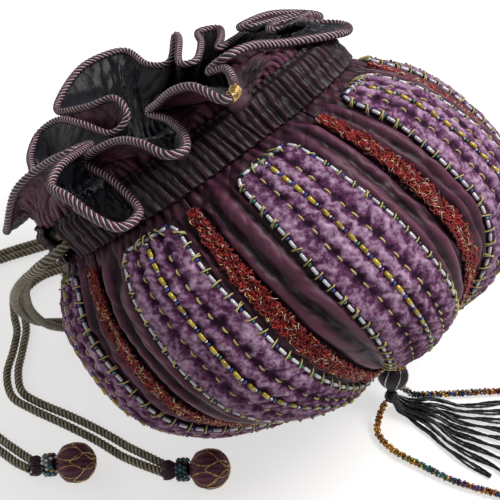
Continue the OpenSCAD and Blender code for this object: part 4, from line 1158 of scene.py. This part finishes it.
# painted light on the pleats' crests and painted shade between them
makeObject("baseCap", wall(capRound(0 * top), capRound(top), True, uv=flatPlace(d * capRadius, x * capRadius)),
           silk, "bag", ("base_cap",), bothFaces(pleat + 0 * x))
loopSizes = {
    "middle": (40.9311, 10.1645, 29.321), "radius": 2.6,
    "strands": 3, "strandRadius": 0.37, "twistRadius": 0.33, "lay": 3.2,
}
s = np.linspace(0, 2 * np.pi, 61)[:-1]
loopWay = np.cos(s)[:, None] * mouth + np.sin(s)[:, None] * np.cross(mouth, np.array([0, 1.0, 0]))
loopLine = np.array(loopSizes["middle"]) + loopSizes["radius"] * loopWay
makeObject("baseLoop", twisted(loopLine, loopSizes, True, 6), darkFloss, "bag", ("base_loop",))


# Ball, bead collar and frayed tuft on each tail
endSizes = {
    "ball": 15.5, "ballFrom": 10.4,  # across, and how far past the tail's end it starts
    "petals": 6, "petalRadius": 0.16, "collarRows": 3, "collarBeads": 15, "collarRadius": 3.9,
    "tuftThreads": 110, "tuftLength": 5.4, "tuftRadius": 4.3,
    # where each tail's end lies, the way it points in degrees, and its beads, as places in collarGlass
    "a": {"place": (0.9, -77, 5), "turn": 38.5, "colours": (4, 3, 2, 4, 5)},
    "b": {"place": (-38.5, -110.2, 5), "turn": 42.3, "colours": (5, 1, 0, 5, 4)},
    "lift": 9.2,  # degrees that both ends point up
}
collarGlass = [yellowGlass, whiteGlass, violetGlass, greenGlass, tealGlass, darkGlass]
for end in "ab":
    sizes = endSizes[end]
    turn, lift = math.radians(sizes["turn"]), math.radians(endSizes["lift"])
    axis = np.array([math.cos(turn) * math.cos(lift), math.sin(turn) * math.cos(lift), math.sin(lift)])
    e1 = unit(np.cross(axis, [0, 0, 1.0]))
    e2 = np.cross(e1, axis)
    place = np.array(sizes["place"], float)
    body = "pull_" + end
    r = np.random.default_rng(40 + ord(end))
    radial = lambda s: np.cos(s)[..., None] * e1 + np.sin(s)[..., None] * e2
    # ball: silk gathered over a round filling
    mid = place + (endSizes["ballFrom"] + endSizes["ball"] / 2) * axis
    lat = np.linspace(0.02, np.pi - 0.02, 72)[:, None]
    lon = np.linspace(0, 2 * np.pi, 145)[:-1][None]
    pleat = np.abs(np.sin(lon * 9 + 0.5 * np.sin(lat * 3 + lon * 2)))
    size = endSizes["ball"] / 2 * (1 - 0.035 * (1 - pleat) * smooth(1.2, 2.6, lat) - 0.02 * (1 - pleat)
                                   + 0.006 * np.sin(lon * 5 + lat * 7))
    ball = mid + (size * np.cos(lat))[..., None] * axis + (size * np.sin(lat))[..., None] * radial(lon)
    uv = flatPlace(lon * 7, lat * 7.7)
    points, faces = ball.reshape(-1, 3), gridFaces(*ball.shape[:2], True)
    caps = np.array([ball[0].mean(0), ball[-1].mean(0)])
    n, m = ball.shape[:2]
    two, end0 = np.arange(0, m, 2), (n - 1) * m  # each end is closed with quads round its middle point
    capFaces = np.concatenate([np.stack([two, two + 1, (two + 2) % m, np.full(m // 2, n * m)], 1),
                               np.stack([end0 + (two + 2) % m, end0 + two + 1, end0 + two,
                                         np.full(m // 2, n * m + 1)], 1)])
    ballPart = (np.concatenate([points, caps]), np.concatenate([faces[:, ::-1], capFaces]), 0,
                np.concatenate([uv.reshape(-1, 2), np.zeros((2, 2))]))
    # painted light on the gathered ridges and painted shade between them
    ballPiece = makeObject("ball" + end.upper(), ballPart, ballSilk, body, ("ball_" + end,),
                           {"fold": np.concatenate([(0.35 + 0.5 * pleat + 0 * lat).reshape(-1), [0.5, 0.5]])})
    # gold petals, embroidered from the tip towards the collar
    s = np.linspace(0, 1, 40)
    parts = []
    for ring, (reachBack, wide, shift) in enumerate(((1.45, 0.42, 0.0), (2.3, 0.36, 0.5))):
        for p in range(endSizes["petals"]):
            middle = 2 * np.pi * (p + shift) / endSizes["petals"] + r.uniform(-0.08, 0.08)
            for hand in (-1, 1):
                latAt = 0.12 + 0.81 * ring + (reachBack - 0.81 * ring) * s
                lonAt = middle + hand * wide * np.sin(np.pi * s ** 0.8) / np.maximum(np.sin(latAt), 0.35)
                out = unit(np.cos(latAt)[:, None] * axis + np.sin(latAt)[:, None] * radial(lonAt))
                parts.append(tubes(mid + out * (endSizes["ball"] / 2 + 0.08), out,
                                   endSizes["petalRadius"] * (1 + 0.15 * np.sin(s * 60))[None], 5))
    petals = makeObject("petals" + end.upper(), parts, goldThread, body)
    # collar of seed beads
    parts = []
    for row in range(endSizes["collarRows"]):
        s = 2 * np.pi * (np.arange(endSizes["collarBeads"]) + 0.5 * row) / endSizes["collarBeads"]
        p = place + (5.3 + (row + 0.5) * 1.6) * axis + (endSizes["collarRadius"] - 0.12 * abs(row - 1)) * radial(s)
        along = np.cross(axis, radial(s))
        colour = r.choice(sizes["colours"], len(s))
        for c in sorted(set(colour)):
            parts.append(beads(p[colour == c], along[colour == c], seedBead(1.72), 8, int(c)))
    core = beads(place + 7.7 * axis, axis, [(-2.4, 3.2), (0, 3.6), (2.4, 3.2)], 24, 5)
    collar = makeObject("beadCollar" + end.upper(), parts + [core], collarGlass, body, ("bead_collar_" + end,))
    # frayed silk behind the collar
    count = endSizes["tuftThreads"]
    s = np.linspace(0, 1, 6)
    lon = r.uniform(0, 2 * np.pi, count)[:, None]
    spread = r.uniform(0.35, 1.0, count)[:, None]
    long = endSizes["tuftLength"] * r.uniform(0.75, 1.1, count)[:, None]
    out = 1.2 + (endSizes["tuftRadius"] - 1.4) * spread * np.sin(np.pi * (0.1 + 0.55 * s)) ** 1.2
    swirl = lon + 0.2 * s * r.uniform(-1, 1, (count, 1))
    p = place + (5.3 - long * s)[..., None] * axis + out[..., None] * radial(swirl)
    p[..., 2] = np.maximum(p[..., 2], 0.3)
    threads = tubes(p, radial(lon + 0 * s), 0.24 * (1 - 0.5 * s)[None], 5)
    heart = beads(place + 2.9 * axis, axis, [(-2.3, 2.2), (-0.6, 2.7), (2.4, 2.4)], 20, 0)
    tuft = makeObject("tuft" + end.upper(), [threads, heart], tuftSilk, body, ("tuft_" + end,))

for name, (piece, line, end) in cords.items():
    inner = name.endswith("Inner")
print("drawstring ends made")


# Tassel
tasselSizes = {
    "ringMid": (42.8326, 10.1645, 26.1478), "ringRadius": 3.5, "ringBeads": 17, "beadsAt": (3.72, 0.62),
    "ballMid": (42.8326, 9.5645, 15.0478), "wrapRadius": 5.55, "wraps": 44, "silverRadius": 6.0, "silverLines": 7,
    "crown": ((-5.3, 2.6, 13), (-4.1, 4.1, 18)),  # rows of gold beads on the ball: place, radius and number
    "knotMid": (45.6807, 5.6993, 7.3174),
    "length": 78, "fan": 21, "fanStep": 5.4,  # the longest strand, the skirt's direction and its spread in degrees
    "shares": (0.62, 0.95, 0.7, 1, 0.9, 0.66, 0.97, 0.82, 0.93),  # each strand's length, as a share of the longest
    "hangers": {"strands": 2, "strandRadius": 0.34, "twistRadius": 0.3, "lay": 2.4},  # what the bead strands hang on
    "layerUp": 1.95, "rest": 1.0,  # millimetres between layers of strands, and from the table to the lowest
}
ringMid, ballMid, knotMid = (np.array(tasselSizes[x], float) for x in ("ringMid", "ballMid", "knotMid"))
s = 2 * np.pi * np.arange(tasselSizes["ringBeads"]) / tasselSizes["ringBeads"]
ringOut = lambda s: np.cos(s)[:, None] * np.array([1.0, 0, 0]) + np.sin(s)[:, None] * np.array([0, 0, 1.0])
ringAt = lambda s, r, y: ringMid + r * ringOut(s) + np.array([0, y, 0])
ringAlong = lambda s: -np.sin(s)[:, None] * np.array([1.0, 0, 0]) + np.cos(s)[:, None] * np.array([0, 0, 1.0])
smooths = np.linspace(0, 2 * np.pi, 49)[:-1]
beadsAt, aside = tasselSizes["beadsAt"]
parts = []
for turn, y in ((0, -aside), (0.18, aside)):  # two rows of beads on a ring of thread
    parts.append(beads(ringAt(s + turn, beadsAt, y), ringAlong(s + turn), seedBead(1.25), 8, 0))
parts.append(tubes(ringAt(smooths, tasselSizes["ringRadius"], 0), ringAt(smooths, 1, 0) - ringMid, 0.75, 8, True, 1))
makeObject("tasselRing", parts, [goldGlass, darkFloss], "tassel_link", ("tassel_ring",))

knotDir = unit(knotMid - ballMid)
k1 = unit(np.cross(knotDir, [0, 0, 1.0]))
k2 = np.cross(k1, knotDir)
aroundKnot = lambda s: np.cos(s)[..., None] * k1 + np.sin(s)[..., None] * k2
lat = np.linspace(0.1, np.pi - 0.12, 30)
parts = []
wound = (  # the threads' distance from the middle, number, turn, first angle, radius and sides
    (tasselSizes["wrapRadius"], tasselSizes["wraps"], 0, 0, 0.43, 6),
    (tasselSizes["silverRadius"], tasselSizes["silverLines"], 0.2, 0.9, 0.24, 5),
)
for material, (size, count, shift, start, radius, sides) in enumerate(wound):
    shown = lat > start
    lon = (2 * np.pi * np.arange(count) / count)[:, None] + 0.12 * np.sin(lat * 2)[None, shown] + shift
    along, out = (size * np.cos(lat))[None, shown, None], (size * np.sin(lat))[None, shown, None]
    p = ballMid + along * -knotDir + out * aroundKnot(lon)
    parts.append(tubes(p, aroundKnot(lon), radius, sides, material=material))
for y, size, count in tasselSizes["crown"]:
    s = 2 * np.pi * np.arange(count) / count
    parts.append(beads(ballMid + knotDir * y + size * aroundKnot(s), np.cross(aroundKnot(s), knotDir), seedBead(1.35),
                       8, 2))
parts.append(beads(ballMid, knotDir, [(-5.2, 1.6), (-3.6, 4.0), (0, 5.4), (3.6, 4.0), (5.2, 1.6)], 24, 0))
makeObject("tasselBall", parts, [darkFloss, silverThread, goldGlass], "tassel", ("tassel_ball",))

parts = [beads(knotMid, knotDir, [(-2.2, 1.2), (-1.2, 2.1), (0, 2.4), (1.2, 2.1), (2.2, 1.2)], 20, 0)]
s = np.linspace(0, 2 * np.pi, 41)[:-1]
for j, (shift, size) in enumerate(((-1.6, 1.85), (-0.8, 2.35), (0, 2.5), (0.8, 2.35), (1.6, 1.85))):
    loop = knotMid + knotDir * (shift + 0.25 * np.sin(s * 2 + j))[:, None] + size * aroundKnot(s)
    parts.append(tubes(loop, aroundKnot(s), 0.42, 6, True, 0))
# its neck, under the ball
parts.append(beads(knotMid - knotDir * 3.1, knotDir, [(-1.4, 1.6), (0, 1.2), (1.4, 1.6)], 16, 0))
strandExits = [knotMid + np.array([0.5 * way, -4.7 * way, 1.5]) for way in (1, -1)]
for leave in strandExits:  # the threads that the bead strands hang on
    bent = knotMid + (leave - knotMid) * 0.5 + np.array([0, 0, 0.5])
    parts += twisted(spaced(curveThrough([knotMid, bent, leave], 10), 0.3), tasselSizes["hangers"], sides=6)
makeObject("tasselKnot", parts, blackRayon, "tassel", ("tassel_knot",))

aim = lambda degrees: np.array([math.cos(math.radians(degrees)), math.sin(math.radians(degrees)), 0])
layerUp, rest = tasselSizes["layerUp"], tasselSizes["rest"]
onFan = lambda a, r, s, z: np.array([knotMid[0], knotMid[1], rest + z]) + r * aim(a) + s * aim(a + 90)
waver = lambda r: 0.9 * math.sin(math.radians(9 * r))
parts = []
for j in range(9):
    layer, column, a = j % 3, j // 3 - 1, tasselSizes["fan"] + tasselSizes["fanStep"] * (j - 4)
    n, s0 = tasselSizes["length"] * tasselSizes["shares"][j], column * 2.1
    up = layer * layerUp
    path = [knotMid + np.array([0, 0, 0.4 * layer - 0.4]), onFan(tasselSizes["fan"], 3.6, s0 * 0.8, up + 0.9),
            onFan(tasselSizes["fan"], 7, s0 * 1.1, up), onFan(a, 16, 0, up), onFan(a, 21, 0, up * 0.5)]
    path += [onFan(a, q, waver(q), 0) for q in range(28, int(n - 5) + 1, 10)] + [onFan(a, n, waver(n), 0)]
    line = spaced(curveThrough(path, 10), 0.9)
    d, nn, b = framesOf(line)
    run = runOf(line)
    for m in range(3):  # each strand is three fine cords, which part towards their ends
        turn = 2 * np.pi * (run / 26 + m / 3) + j
        apart = 0.48 + 1.17 * smooth(25, 80, run) * (m - 1)
        aside = (apart * (m - 1) * smooth(12, 45, run))[:, None]
        p = line + (nn * (0.45 * np.cos(turn))[:, None] + b * (0.45 * np.sin(turn))[:, None]
                    + np.cross(d, [0, 0, 1.0]) * aside)
        p[:, 2] = np.maximum(p[:, 2], 0.55)
        parts.append(tubes(p, nn, 0.5 * (1 - 0.12 * np.cos(run * 2.4 + m))[None], 6))
makeObject("tasselSkirt", parts, blackRayon, "tassel", ("tassel_skirt",))

ropeGlass = [amberGlass, goldGlass, greenGlass, tealGlass, violetGlass, copperGlass, blueGlass, silverGlass,
             darkGlass]
strandSizes = {
    "bead": 1.6, "around": 0.85,  # a bead, and from the thread to a bead's middle, in millimetres
    "step": 0.42, "rest": 1.7, "gold": 0.38,  # from bead to bead, height on the table, and share of gold beads
}


def beadRope(name, points, order, node, seed):
    r = np.random.default_rng(seed)
    line = curveThrough(points, 12)
    line[:, 2] = np.maximum(line[:, 2], strandSizes["rest"])
    line = spaced(line, strandSizes["step"])
    d, n, b = framesOf(line)
    turn = np.arange(len(line)) * 2.4
    size = strandSizes["around"] * r.uniform(0.8, 1.1, len(line))
    p = line + (np.cos(turn) * size)[:, None] * n + (np.sin(turn) * size)[:, None] * b
    share = np.linspace(0, len(order) - 1e-3, len(line)) + r.normal(0, 0.45, len(line))
    colour = np.array(order)[np.clip(share.astype(int), 0, len(order) - 1)]
    colour = np.where(r.random(len(line)) < strandSizes["gold"], 1, colour)
    axes = unit(r.normal(size=(len(line), 3)) + 1.2 * d)
    parts = [beads(p[colour == c], axes[colour == c], seedBead(strandSizes["bead"]), 8, int(c))
             for c in sorted(set(colour))]
    parts.append(tubes(line, n, 0.35, 5, material=8))
    piece = makeObject(name, parts, ropeGlass, "tassel", (node,))


beadRope("beadStrand1", [strandExits[0], (47, -3.6, 4), (50, -8, 1.7), (55, -9.8, 1.7), (62, -10, 1.7),
                         (73, -8, 1.7), (86, -5, 1.7), (98, 0, 1.7), (108, 5, 1.7)],
         (0, 1, 1, 2, 3, 4, 5, 6), "bead_strand_1", 5)
beadRope("beadStrand2", [strandExits[1], (46, 13.6, 4), (50, 15.5, 1.7), (57, 22, 1.7), (66, 31, 1.7),
                         (74, 39, 1.7), (83, 47, 1.7), (91, 55, 1.7)], (7, 8, 6, 7, 5, 8, 7), "bead_strand_2", 6)
print("tassel made")


# Floor and light
room = {"floor": "#cfcdca", "backdrop": 0.62, "key": 9.0, "fill": 1.3, "world": 0.26}
floorMesh = bpy.data.meshes.new("floor")
floorMesh.from_pydata([(-3, -3, 0), (3, -3, 0), (3, 3, 0), (-3, 3, 0)], [], [(0, 1, 2, 3)])
floor = bpy.data.objects.new("floor", floorMesh)
bpy.context.scene.collection.objects.link(floor)
floor.location.z = -0.0002
# smooth matt paper: an even pale ground with no shine
paper, tree, shader = newMaterial("palePaper", {"Roughness": 0.9, "Specular IOR Level": 0.2}, room["floor"])
shader.inputs["Emission Color"].default_value = (1, 1, 1, 1)
seen = addNode(tree, "LightPath")  # the floor is paler to the camera and in shiny beads than the light it gives
either = addNode(tree, "Math", {"operation": "MAXIMUM"}, {0: seen, 1: seen.outputs["Is Glossy Ray"]})
bright = addNode(tree, "Math", {"operation": "MULTIPLY", 1: room["backdrop"]}, {0: either})
feed(tree, shader, {"Emission Strength": bright})
floorMesh.materials.append(paper)


def softLamp(name, place, size, strength, colour="#ffffff"):
    lamp = bpy.data.lights.new(name, "AREA")
    lamp.shape, lamp.size, lamp.size_y, lamp.energy = "RECTANGLE", size[0], size[1], strength
    lamp.color = linear(colour)[:3]
    holder = bpy.data.objects.new(name, lamp)
    bpy.context.scene.collection.objects.link(holder)
    holder.location = place
    holder.rotation_euler = (Vector((0, 0, 0.06)) - Vector(place)).to_track_quat("-Z", "Y").to_euler()


softLamp("keySoftbox", (0.35, 0.55, 0.95), (0.5, 0.5), room["key"])
softLamp("fillSoftbox", (-0.9, -0.5, 0.7), (0.9, 0.9), room["fill"])
world = bpy.data.worlds.new("studio")
bpy.context.scene.world = world
world.use_nodes = True
sky = world.node_tree.nodes["Background"]
sky.inputs["Color"].default_value = (1, 1, 1, 1)
seen = addNode(world.node_tree, "LightPath")
bright = addNode(world.node_tree, "MapRange", {"To Min": room["world"], "To Max": 0.95}, {"Value": seen})
feed(world.node_tree, sky, {"Strength": bright})
